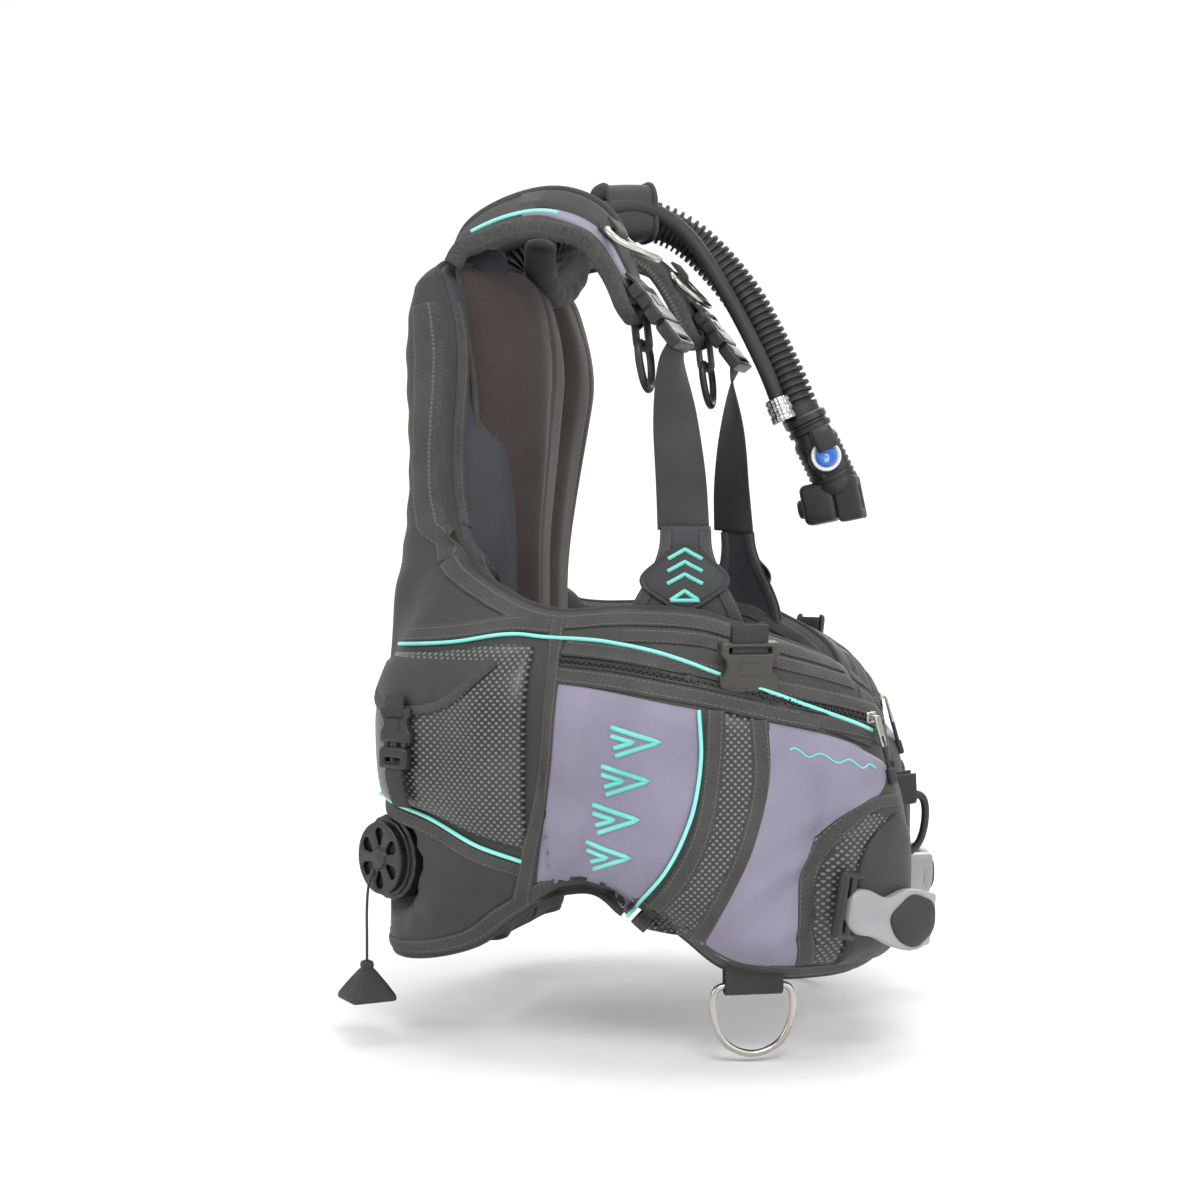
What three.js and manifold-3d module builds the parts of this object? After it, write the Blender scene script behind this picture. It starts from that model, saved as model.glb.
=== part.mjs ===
// Jacket buoyancy compensator vest for scuba diving, standing open as it does when worn.
// Millimetres, +Z up. The wearer faces -Y and the tank sits against the back on the +Y side.
// The origin is the centre of the plate's tank seat, a flat face that looks along +Y.
import * as THREE from "three";
import { mergeVertices } from "three/addons/utils/BufferGeometryUtils.js";
import Module from "manifold-3d";

const wasm = await Module();
wasm.setup();

// ---- driving dimensions ----
const gap = 0.4; // between pieces that touch
const seamGirth = 128; // where the side lobes are sewn to the back bladder, measured round the waist
const frontGirth = 532; // where a lobe ends, near the middle of the chest
const hemZ = -302;
const lobeSwell = 36; // half the thickness of an inflated lobe
const wingSwell = 34; // half the thickness of the back bladder beside the tank
const channelHalfWidth = 72; // flat part of the back between the wings
const plateThickness = 12;
const plateHalfWidth = 66;
const plateTop = 152;
const plateBottom = -178;
const webbing = 38; // shoulder webbing width
const webbingThickness = 2.2;
const beltWidth = 50; // tank band and hip webbing
const bandZ = 66; // height of the tank band
const bandThickness = 3;
const pocketDepth = 13; // how far a pocket stands off its lobe
const padThickness = 13; // shoulder pads
const hoseRadius = 17; // corrugated hose, over its ribs
const supplyRadius = 6.5; // low pressure hose
const valveRadius = 32; // dump valve flange
const cordRadius = 1;
const ringWire = 2.6; // half the thickness of a steel ring's wire
const plasticWire = 3;
const buckleWidth = 46;
const buckleThickness = 11;

// ---- materials ----
const material = (color, roughness, metalness = 0) =>
  new THREE.MeshStandardMaterial({ color, roughness, metalness });
const shellNylon = material(0x3a3c39, 0.8);
const padFleece = material(0x4a4241, 0.95);
const edgeBlack = material(0x2c2c2b, 0.85);
const panelLilac = material(0x77748a, 0.8);
const plasticBlack = material(0x1b1b1c, 0.4);
const rubberBlack = material(0x202122, 0.6);
const steel = material(0xb9b6ad, 0.25, 1);
const handleGrey = material(0xb4b2b6, 0.5);
const buttonBlue = material(0x1560c8, 0.35);

// ---- small tools ----
const vec = (x, y, z) => new THREE.Vector3(x, y, z);
const mix = (a, b, t) => a + (b - a) * t;
const clamp = (x, low = 0, high = 1) => Math.min(high, Math.max(low, x));
const smooth = (t) => clamp(t) ** 2 * (3 - 2 * clamp(t));

// A smooth curve through [x, y] pairs, flat beyond its ends.
function smoothTable(pairs) {
  const slope = pairs.map((p, i) => {
    const before = pairs[Math.max(0, i - 1)];
    const after = pairs[Math.min(pairs.length - 1, i + 1)];
    return (after[1] - before[1]) / (after[0] - before[0]);
  });
  return (x) => {
    const last = pairs.length - 1;
    if (x <= pairs[0][0]) return pairs[0][1];
    if (x >= pairs[last][0]) return pairs[last][1];
    const i = pairs.findIndex((p) => p[0] > x) - 1;
    const span = pairs[i + 1][0] - pairs[i][0];
    const t = (x - pairs[i][0]) / span;
    return (
      (2 * t ** 3 - 3 * t ** 2 + 1) * pairs[i][1] +
      (t ** 3 - 2 * t ** 2 + t) * span * slope[i] +
      (3 * t ** 2 - 2 * t ** 3) * pairs[i + 1][1] +
      (t ** 3 - t ** 2) * span * slope[i + 1]
    );
  };
}

// A closed geometry as a solid, whichever way its faces were wound.
function solid(geometry) {
  const bare = geometry.index ? geometry.toNonIndexed() : geometry.clone();
  bare.deleteAttribute("normal");
  bare.deleteAttribute("uv");
  const merged = mergeVertices(bare, 1e-3);
  const points = merged.attributes.position;
  const faces = Array.from(merged.index.array);
  const corner = (i) => new THREE.Vector3().fromBufferAttribute(points, faces[i]);
  let volume = 0;
  for (let i = 0; i < faces.length; i += 3)
    volume += corner(i).dot(corner(i + 1).cross(corner(i + 2)));
  if (volume < 0) faces.reverse();
  return new wasm.Manifold(
    new wasm.Mesh({
      numProp: 3, vertProperties: points.array, triVerts: new Uint32Array(faces),
    }),
  );
}

function geometryOf(shape) {
  const made = shape.getMesh();
  const points = new Float32Array(made.numVert * 3);
  for (let i = 0; i < made.numVert; i++)
    points.set(made.vertProperties.subarray(i * made.numProp, i * made.numProp + 3), i * 3);
  const geometry = new THREE.BufferGeometry();
  geometry.setAttribute("position", new THREE.BufferAttribute(points, 3));
  geometry.setIndex(new THREE.BufferAttribute(new Uint32Array(made.triVerts), 1));
  return geometry;
}

const vest = new THREE.Group();
const sides = { right: new THREE.Group(), left: new THREE.Group() };
sides.right.scale.x = -1; // side pieces are drawn with X pointing away from the body
vest.add(sides.right, sides.left);

const largest = (shape) =>
  shape.decompose().reduce((a, b) => (a.volume() > b.volume() ? a : b));

function add(name, shape, finish, group = vest) {
  const mesh = new THREE.Mesh(geometryOf(largest(shape)), finish);
  mesh.name = name;
  group.add(mesh);
}

// A closed body between two surfaces over the unit square.
function quilt(columns, rows, inner, outer) {
  const points = [];
  const faces = [];
  for (const surface of [inner, outer])
    for (let i = 0; i <= columns; i++)
      for (let j = 0; j <= rows; j++) points.push(...surface(i / columns, j / rows).toArray());
  const layer = (columns + 1) * (rows + 1);
  const at = (i, j, k) => k * layer + i * (rows + 1) + j;
  const quad = (a, b, c, d) => faces.push(a, b, c, a, c, d);
  for (let i = 0; i < columns; i++)
    for (let j = 0; j < rows; j++) {
      quad(at(i, j, 1), at(i + 1, j, 1), at(i + 1, j + 1, 1), at(i, j + 1, 1));
      quad(at(i, j, 0), at(i, j + 1, 0), at(i + 1, j + 1, 0), at(i + 1, j, 0));
    }
  for (let i = 0; i < columns; i++) {
    quad(at(i, 0, 0), at(i + 1, 0, 0), at(i + 1, 0, 1), at(i, 0, 1));
    quad(at(i, rows, 1), at(i + 1, rows, 1), at(i + 1, rows, 0), at(i, rows, 0));
  }
  for (let j = 0; j < rows; j++) {
    quad(at(0, j, 1), at(0, j + 1, 1), at(0, j + 1, 0), at(0, j, 0));
    quad(at(columns, j, 0), at(columns, j + 1, 0), at(columns, j + 1, 1), at(columns, j, 1));
  }
  const geometry = new THREE.BufferGeometry();
  geometry.setAttribute("position", new THREE.Float32BufferAttribute(points, 3));
  geometry.setIndex(faces);
  return solid(geometry);
}

// A closed body through a row of rings that all have as many points.
function loft(rings) {
  const count = rings[0].length;
  const points = rings.flat().flatMap((p) => p.toArray());
  const faces = [];
  for (let k = 0; k + 1 < rings.length; k++)
    for (let i = 0; i < count; i++) {
      const j = (i + 1) % count;
      const a = k * count;
      const b = a + count;
      faces.push(a + i, a + j, b + j, a + i, b + j, b + i);
    }
  const last = (rings.length - 1) * count;
  for (let i = 1; i + 1 < count; i++) faces.push(0, i + 1, i, last, last + i, last + i + 1);
  const geometry = new THREE.BufferGeometry();
  geometry.setAttribute("position", new THREE.Float32BufferAttribute(points, 3));
  geometry.setIndex(faces);
  return solid(geometry);
}

// A strap through stations { at, across, half, thick }: across is the way of its width.
function strap(stations, corners = 8) {
  const line = new THREE.CatmullRomCurve3(stations.map((s) => s.at));
  const rings = stations.map((s, i) => {
    const along = line.getTangent(i / (stations.length - 1));
    const wide = s.across.clone().addScaledVector(along, -s.across.dot(along)).normalize();
    const up = along.clone().cross(wide);
    return Array.from({ length: corners }, (_, k) => {
      const turn = ((k + 0.5) / corners) * 2 * Math.PI;
      const bevel = (value) => Math.sign(value) * Math.abs(value) ** 0.5;
      return s.at
        .clone()
        .addScaledVector(wide, s.half * bevel(Math.cos(turn)))
        .addScaledVector(up, (s.thick / 2) * bevel(Math.sin(turn)));
    });
  });
  return loft(rings);
}

const tube = (points, radius, sidesRound, steps) => {
  const section = new THREE.Shape(
    Array.from({ length: sidesRound }, (_, i) => {
      const turn = (i / sidesRound) * 2 * Math.PI;
      return new THREE.Vector2(radius * Math.cos(turn), radius * Math.sin(turn));
    }),
  );
  const extrudePath = new THREE.CatmullRomCurve3(points);
  return solid(new THREE.ExtrudeGeometry(section, { steps, extrudePath, bevelEnabled: false }));
};

const ring = (points, radius, steps = 20) =>
  solid(new THREE.TubeGeometry(new THREE.CatmullRomCurve3(points, true), steps, radius, 6, true));

// A matrix whose local X and Z point along those directions, at that place.
function frameAt(at, alongX, alongZ) {
  const x = alongX.clone().normalize();
  const z = alongZ.clone().addScaledVector(x, -alongZ.dot(x)).normalize();
  return new THREE.Matrix4().makeBasis(x, z.clone().cross(x), z).setPosition(at);
}
const placed = (geometry, frame) => solid(geometry.clone().applyMatrix4(frame));
const box = (wide, deep, high, x = 0, y = 0, z = 0) =>
  new THREE.BoxGeometry(wide, deep, high).translate(x, y, z);
const spool = (profile, segments = 24) =>
  new THREE.LatheGeometry(
    profile.map(([radius, height]) => new THREE.Vector2(radius, height)),
    segments,
  ).rotateX(Math.PI / 2);

// ---- the vest's surface ----
// The middle of the vest's wall in plan, from the middle of the back round to the chest.
const planPoints = [
  [0, -5], [60, 0], [112, 6], [150, -10], [167, -62],
  [169, -130], [161, -200], [132, -262], [82, -296], [20, -306],
];
const planCurve = new THREE.CatmullRomCurve3(
  planPoints.map(([x, y]) => vec(x, y, 0)), false, "catmullrom", 0.5,
);
planCurve.arcLengthDivisions = 600;
const planLength = planCurve.getLength();

// How far the front of the side being built is drawn back: the left lobe tucks in behind the right.
const drawnBack = { right: 0, left: 30 };
let pull = 0;

// The point at a distance round the waist (negative on the right), a height and a distance outwards.
function wall(girth, z, outwards) {
  const at = clamp(Math.abs(girth) / planLength, 0, 0.9999);
  const point = planCurve.getPointAt(at);
  const along = planCurve.getTangentAt(at);
  const x = point.x - along.y * outwards;
  const y = point.y + along.x * outwards;
  return vec(Math.sign(girth || 1) * x, y + pull * smooth((-60 - y) / 220), z);
}

const wallShift = smoothTable([
  [0, -17], [40, -19], [channelHalfWidth, -24], [95, 10], [125, 6], [180, 0], [540, 0],
]);
const wallSwell = smoothTable([
  [0, 9], [40, 9], [channelHalfWidth, 9.5], [95, wingSwell], [125, lobeSwell],
  [420, lobeSwell], [frontGirth, lobeSwell * 0.75],
]);
const lean = (girth, z) =>
  -24 * smooth((z + 130) / 120) * smooth((Math.abs(girth) - 95) / 45);
const skirt = (girth, z) =>
  smooth((hemZ + 62 - z) / 50) * smooth((Math.abs(girth) - 70) / 20) * smooth((200 - Math.abs(girth)) / 50);
const wallLevel = (girth, z) =>
  wallShift(Math.abs(girth)) + lean(girth, z) + 0.8 * lobeSwell * skirt(girth, z);

const bottomEdge = smoothTable([
  [0, hemZ], [140, hemZ], [186, -292], [220, -268], [256, -246], [284, -244], [312, -256],
  [342, -276], [370, -298], [400, -306], [434, -309], [500, -310], [frontGirth, -300],
]);
const chestEdge = [
  [250, -46], [300, -43], [356, -46], [394, -58], [442, -72], [476, -84], [505, -104],
  [522, -128], [frontGirth, -165],
];
const topEdge = {
  right: smoothTable([[seamGirth, 6], [160, -12], [190, -27], [220, -40], ...chestEdge]),
  left: smoothTable([[seamGirth, -32], [150, -43], [180, -47], [215, -47], ...chestEdge]),
};
const armholeEdge = {
  right: smoothTable([
    [6, seamGirth], [25, 122], [56, 118], [94, 119], [120, 121], [150, 122], [180, 118],
    [210, 108], [235, 96],
  ]),
  left: smoothTable([
    [-32, seamGirth], [-8, 112], [20, 100], [56, 96], [94, 104], [120, 114], [150, 120],
    [180, 118], [210, 108], [235, 96],
  ]),
};

// ---- bladder ----
const topOfBack = smoothTable([
  [0, 190], [0.3, 194], [0.5, 212], [0.65, 226], [0.82, 226], [1, 208],
]);
function backPoint(face, across, up) {
  const side = across < 0.5 ? "right" : "left";
  const u = across * 2 - 1;
  const z = mix(hemZ, topOfBack(Math.abs(u)), up);
  const girth = u * (armholeEdge[side](z) - gap);
  const rim = mix(1, Math.sqrt(1 - Math.abs(u) ** 8), smooth((z + 40) / 60));
  const ends = Math.sqrt(clamp(1 - up ** 14)) * (1 - 0.9 * skirt(girth, z));
  const half = Math.max(1.5, wallSwell(Math.abs(girth)) * rim * ends);
  return wall(girth, z, wallLevel(girth, z) + face * half);
}
const wholeBack = quilt(26, 16, (u, v) => backPoint(-1, u, v), (u, v) => backPoint(1, u, v));

// The dump valve sits in a round well at the back corner of the right lobe.
const valveFrame = frameAt(vec(159, 29, -230), vec(-0.52, 0.855, 0), vec(0.855, 0.52, 0));
const onValve = (geometry) => placed(geometry, valveFrame);
const valveWell = onValve(
  spool([
    [0, -14 - gap], [valveRadius + gap, -14 - gap], [valveRadius + gap, -1], [valveRadius + 8, 12],
    [valveRadius + 8, 40], [0, 40],
  ]),
);

function lobeHalf(side, girth, z) {
  const low = bottomEdge(girth);
  const up = clamp((z - low) / (topEdge[side](girth) - low));
  const nose = Math.sqrt(clamp(1 - (Math.max(0, girth - 492) / 41) ** 2));
  const round = mix(Math.sqrt(4 * up * (1 - up)), 0.12, skirt(girth, z));
  return Math.max(1.5, wallSwell(girth) * nose * round);
}
const lobeOuter = (side, girth, z) => wallLevel(girth, z) + lobeHalf(side, girth, z);
const lobeInner = (side, girth, z) => wallLevel(girth, z) - lobeHalf(side, girth, z);

function lobe(side) {
  const point = (face) => (u, v) => {
    const girth = mix(seamGirth + gap / 2, frontGirth, u);
    const z = mix(bottomEdge(girth), topEdge[side](girth), (1 - Math.cos(v * Math.PI)) / 2);
    return wall(girth, z, wallLevel(girth, z) + face * lobeHalf(side, girth, z));
  };
  const whole = quilt(24, 9, point(-1), point(1));
  return side === "right" ? whole.subtract(valveWell).simplify(0.05) : whole;
}

// A solid grown a little every way, and a shape cut back so that it just clears its neighbours.
const grown = new Map();
function around(shape) {
  if (grown.has(shape)) return grown.get(shape);
  const steps = [1, -1].flatMap((d) => [[d, 0, 0], [0, d, 0], [0, 0, d]]);
  const copies = steps.map((step) => shape.translate(step.map((value) => value * gap * 0.9)));
  grown.set(shape, wasm.Manifold.union([shape, ...copies]).simplify(0.05));
  return grown.get(shape);
}
const fit = (shape, ...neighbours) =>
  largest(neighbours.reduce((left, other) => left.subtract(around(other)), shape)).simplify(0.1);
const mirrored = (shape) => shape.mirror([1, 0, 0]);

const backBladder = wholeBack.subtract(valveWell.mirror([1, 0, 0])).simplify(0.05);

// ---- tank plate, band and cam buckle ----
function plate() {
  const corner = 22;
  const outline = new THREE.Shape();
  outline.moveTo(-plateHalfWidth + corner, plateBottom);
  outline.lineTo(plateHalfWidth - corner, plateBottom);
  outline.lineTo(plateHalfWidth, plateBottom + corner * 1.6);
  outline.lineTo(plateHalfWidth, plateTop - corner);
  outline.lineTo(plateHalfWidth - corner, plateTop);
  outline.lineTo(-plateHalfWidth + corner, plateTop);
  outline.lineTo(-plateHalfWidth, plateTop - corner);
  outline.lineTo(-plateHalfWidth, plateBottom + corner * 1.6);
  const flat = new THREE.ExtrudeGeometry(outline, { depth: plateThickness, bevelEnabled: false });
  let made = solid(flat.rotateX(Math.PI / 2));
  for (const x of [-49, 49])
    for (const z of [bandZ, -76])
      made = made.subtract(solid(box(14, plateThickness * 3, beltWidth + 6, x, 0, z)));
  return made;
}
const tankPlate = plate();
const bandLine = [
  [-51, -9], [-51, -3], [-48, 1.6], [-41, 3.6], [0, 3.6], [41, 3.6], [48, 1.6], [51, -3], [51, -9],
];
const tankBand = strap(
  bandLine.map(([x, y]) => ({
    at: vec(x, y, bandZ), across: vec(0, 0, 1), half: beltWidth / 2, thick: bandThickness,
  })),
);
const bandTop = 3.6 + bandThickness / 2 + gap;
const camBody = solid(box(44, 4, 62, 0, bandTop + 2, bandZ))
  .add(solid(box(22, 17, 4, -6, bandTop + 8.5, bandZ + 29)))
  .add(solid(box(22, 17, 4, -6, bandTop + 8.5, bandZ - 29)));
const camLever = solid(box(51, 5, 52, 11.5, bandTop + 12, bandZ)).add(
  solid(spool([[0, -26.4], [5, -26.4], [5, 26.4], [0, 26.4]], 12).translate(-12, bandTop + 10, bandZ)),
);
add("back_bladder", backBladder, shellNylon);
add("tank_plate", fit(tankPlate, backBladder), plasticBlack);
add("tank_band", fit(tankBand, tankPlate, backBladder), edgeBlack);
add("cam_buckle", camBody, plasticBlack);
add("cam_lever", camLever, plasticBlack);

// ---- back pad and neck roll ----
function padPoint(front, across, up) {
  const x = (across * 2 - 1) * 96;
  const away = Math.abs(across * 2 - 1);
  const narrow = 1 - 0.22 * smooth((0.35 - up) / 0.35) - 0.05 * smooth((up - 0.8) / 0.2);
  const rim = Math.sqrt(1 - away ** 6) * Math.sqrt(clamp(1 - (up * 2 - 1) ** 12));
  const groove = 1 - 0.55 * Math.exp(-((x / 13) ** 2));
  const z = mix(-168, 216, up);
  const back = -33 + 22 * smooth((away - 0.55) / 0.45) ** 1.2;
  const wrap = 12 * smooth((z - 120) / 90);
  return vec(x * narrow, back + wrap - (front ? 3 + 25 * rim * groove : 0), z);
}
const backPad = fit(
  quilt(20, 14, (u, v) => padPoint(true, u, v), (u, v) => padPoint(false, u, v)),
  backBladder,
);
const rollLine = [
  [-50, -50, 240], [-40, -46, 221], [-20, -43, 208], [0, -42, 204], [20, -43, 208],
  [40, -46, 221], [50, -50, 240],
];
const neckRoll = fit(
  tube(rollLine.map((p) => vec(...p)), 13, 10, 14), backBladder, backPad,
);
add("back_pad", backPad, padFleece);
add("neck_roll", neckRoll, edgeBlack);

// ---- buckles and rings ----
// Side-release buckle halves. Local X runs across the webbing and the plug points along +Z.
function buckleSocket(frame, width, thick, long) {
  const shell = solid(box(width, thick, long));
  const mouth = solid(box(width - 8, thick - 4, long - 9, 0, 0, -5));
  const bar = solid(box(width - 12, thick * 2, 4, 0, 0, long / 2 - 6));
  const window = solid(box(12, thick * 2, long * 0.35, width / 2 - 1, 0, -2));
  const other = solid(box(12, thick * 2, long * 0.35, 1 - width / 2, 0, -2));
  return shell.subtract(mouth).subtract(bar).subtract(window).subtract(other)
    .transform(frame.toArray());
}
function bucklePlug(frame, width, thick, long, tongue) {
  const body = solid(box(width, thick, long));
  const bar = solid(box(width - 12, thick * 2, 4, 0, 0, 3 - long / 2 + 3));
  const prongs = solid(box(width - 11, thick - 5, tongue + 2, 0, 0, long / 2 + tongue / 2 - 1));
  return body.subtract(bar).add(prongs).transform(frame.toArray());
}
// A ring with a straight bar of half width w at local Z 0 and a round bow down to -drop.
function bow(frame, w, drop, wire, bend = 0) {
  const points = [
    [-w + 3, 0], [0, 0], [w - 3, 0], [w + 1, -4], [w + 2, -drop * 0.4], [w * 0.72, -drop * 0.84],
    [0, -drop], [-w * 0.72, -drop * 0.84], [-w - 2, -drop * 0.4], [-w - 1, -4],
  ].map(([x, z]) => vec(x, -bend * (z / drop) ** 2, z).applyMatrix4(frame));
  return ring(points, wire);
}
// A folded webbing loop that holds a bow's bar, with its body along local +Z.
function loopTab(frame, half, bore, high) {
  const outer = bore + 2.4;
  const fold = solid(box(half * 2, outer * 2, outer + high, 0, 0, (high - outer) / 2));
  const eye = solid(
    spool([[0, -half * 2], [bore, -half * 2], [bore, half * 2], [0, half * 2]], 10).rotateY(Math.PI / 2),
  );
  return fold.subtract(eye).transform(frame.toArray());
}

// ---- shoulder pads, buckles and chest webbing ----
const padStations = {
  right: [
    [88, 8, 220], [87, -6, 238], [86, -40, 253], [86, -73, 255], [90, -106, 238], [93, -126, 206],
    [95, -140, 168],
  ],
  left: [
    [88, 8, 220], [87, -6, 234], [86, -40, 244], [86, -73, 245], [90, -106, 230], [93, -126, 203],
    [95, -140, 168],
  ],
};
const padRoll = { right: 0.6, left: 0.08 };
const buckleAlong = vec(0, -0.61, -0.79);
function addShoulder(side) {
  const group = sides[side];
  const bladder = side === "right" ? mirrored(backBladder) : backBladder;
  const roll = padRoll[side];
  const pad = strap(
    padStations[side].map(([x, y, z], i) => {
      const turn = roll * smooth((6 - i) / 3);
      const wide = [26, 28, 29, 29, 28, 26, 23][i];
      const across = vec(Math.cos(turn), 0, -Math.sin(turn));
      return { at: vec(x, y, z), across, half: wide, thick: i === 6 ? 8 : padThickness };
    }),
    10,
  );
  const socketFrame = frameAt(vec(96, -153, 180), vec(1, 0, 0), buckleAlong.clone().negate());
  const plugFrame = frameAt(vec(96, -170.5, 157.3), vec(1, 0, 0), buckleAlong.clone().negate());
  const socket = buckleSocket(socketFrame, buckleWidth, buckleThickness, 34);
  const plug = bucklePlug(plugFrame, buckleWidth - 2, buckleThickness - 1, 22, 20);

  const ringAt = frameAt(vec(96, -146, 152), vec(1, 0, 0), vec(0, 0.12, 1));
  const ringTab = loopTab(ringAt, 8, plasticWire + 0.5, 20);
  const bowAt = frameAt(
    vec(91, -123, side === "right" ? 236 : 226), vec(1, 0, 0), vec(0, 0.62, 0.78),
  );
  const bowTab = loopTab(bowAt, 14, ringWire + 1.1, 7);
  const turning = [-23, 23].map((x) =>
    solid(
      spool([[0, -8], [5, -8], [5, 8], [0, 8]], 14).rotateY(Math.PI / 2).translate(x, 0, 0)
        .applyMatrix4(bowAt),
    ),
  );
  const dring = bow(bowAt, 25, 36, ringWire, side === "right" ? 14 : 5);
  const padWhole = pad.add(ringTab).add(bowTab).subtract(around(dring))
    .subtract(turning[0]).subtract(turning[1]);
  const shoulderPad = fit(padWhole, bladder, side === "right" ? mirrored(neckRoll) : neckRoll);
  add(`shoulder_pad_${side}`, fit(shoulderPad, socket), shellNylon, group);
  add(`shoulder_socket_${side}`, socket, plasticBlack, group);
  add(`shoulder_plug_${side}`, plug, plasticBlack, group);
  add(`pull_ring_${side}`, bow(ringAt, 14, 34, plasticWire), plasticBlack, group);
  add(`shoulder_dring_${side}`, dring, steel, group);

  const webbingLine = [
    [96, -166, 140, 0.2], [100, -172, 98, 0.75], [110, -179, 50, 1.1], [120, -184, 6, 1.28],
  ];
  const back = (z) => pull * 0.62 * smooth((140 - z) / 130);
  const chestStrap = strap(
    webbingLine.map(([x, y, z, turn]) => ({
      at: vec(x, y + back(z), z), across: vec(Math.cos(turn), Math.sin(turn), 0),
      half: webbing / 2, thick: webbingThickness,
    })),
  );
  const tab = quilt(
    8, 6,
    ...[-1, 1].map((face) => (u, v) => {
      const girth = 344 + (u - 0.5) * mix(104, 44, smooth(v * 1.15));
      const z = mix(-70, 14, v);
      return wall(girth, z, -27 - 16 * smooth((z + 50) / 70) + face * 2.2);
    }),
  );
  add(
    `chest_webbing_${side}`, fit(chestStrap.add(tab), lobes[side], plug, socket), edgeBlack, group,
  );
  return shoulderPad;
}

// ---- pockets on the lobes ----
// A flat bag on the outside of a lobe, between two distances round the waist and two edges.
function bag(side, from, to, low, high, depth, columns, rows) {
  const point = (outside) => (u, v) => {
    const girth = mix(from, to, u);
    const z = mix(low(girth), high(girth), v);
    const fullness = Math.sqrt(clamp(25 * u * (1 - u) * v * (1 - v)));
    const rise = outside ? 3 + (depth(girth) - 3) * fullness : -5;
    return wall(girth, z, lobeOuter(side, girth, z) + rise);
  };
  return quilt(columns, rows, point(false), point(true));
}
const pocketTop = smoothTable([
  [134, -78], [182, -74], [220, -69], [250, -72], [288, -74], [330, -82], [366, -96],
  [400, -110], [434, -125], [470, -144], [500, -162],
]);
const trimBottom = smoothTable([[134, -184], [170, -190], [206, -204], [240, -214]]);

const lobes = {};
for (const side of ["right", "left"]) {
  pull = drawnBack[side];
  lobes[side] = lobe(side);
}

// The weight pouch slides out along this frame's X.
let pouchFrame = null;
const pouchPlace = () =>
  frameAt(wall(452, -236, 30), vec(-0.83, -0.52, -0.22), vec(-0.2, -0.12, 1));
const slideBox = (long, wide, deep, shift = 0) =>
  placed(box(long, deep, wide, shift, 0, 0), pouchFrame);

function addPockets(side) {
  const group = sides[side];
  const name = (piece) => `${piece}_${side}`;
  pouchFrame = pouchPlace();
  const slot = slideBox(96 + 120, 72, 17, 60);
  const body = fit(lobes[side], slot);
  const cargoBag = fit(
    bag(side, 254, 424, (g) => bottomEdge(g) + 8, pocketTop, () => pocketDepth, 14, 8),
    body, slot,
  );
  const weightBag = fit(
    bag(side, 418, 498, (g) => bottomEdge(g) + 10, (g) => pocketTop(g) - 8, () => 19, 8, 8),
    body, slot,
  );
  const cargoWhole = cargoBag.add(weightBag);
  const trim = fit(
    bag(side, 134, 240, trimBottom, pocketTop, () => pocketDepth, 8, 5), body, cargoWhole,
  );
  const zipFrame = frontFrame(side, 466, -122, 5, vec(0.2, 0.1, 1));
  const zipRun = placed(box(9 + 24, 30, 54, -10, 20.4, -24), tippedOut(zipFrame));
  const cargo = cargoWhole.subtract(zipRun);
  add(name("cargo_pocket"), cargo, panelLilac, group);

  const pouch = slideBox(96, 71, 16);
  add(name("weight_pouch"), pouch, edgeBlack, group);
  return { body, cargo, trim };
}
// Weight handle: a flat grip parallel to the slide, joined to the pouch round the pocket's mouth.
function handleOf() {
  const face = placed(box(90, 10, 44, 18, 31, -22), pouchFrame);
  const neck = placed(box(12, 38, 40, 58, 16, -20), pouchFrame);
  return face.add(neck);
}

// The zip pull rests tipped out over the pocket, turned about its pin.
const tippedOut = (frame) =>
  frame.clone()
    .multiply(new THREE.Matrix4().makeTranslation(0, 7, 0))
    .multiply(new THREE.Matrix4().makeRotationX(0.24))
    .multiply(new THREE.Matrix4().makeTranslation(0, -7, 0));

// Small hardware on the outside of the lobes.
function frontFrame(side, girth, z, rise, down = vec(0, 0, 1)) {
  const at = wall(girth, z, lobeOuter(side, girth, z) + rise);
  const ahead = wall(girth + 4, z, lobeOuter(side, girth + 4, z) + rise).sub(at);
  return frameAt(at, ahead, down);
}

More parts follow.
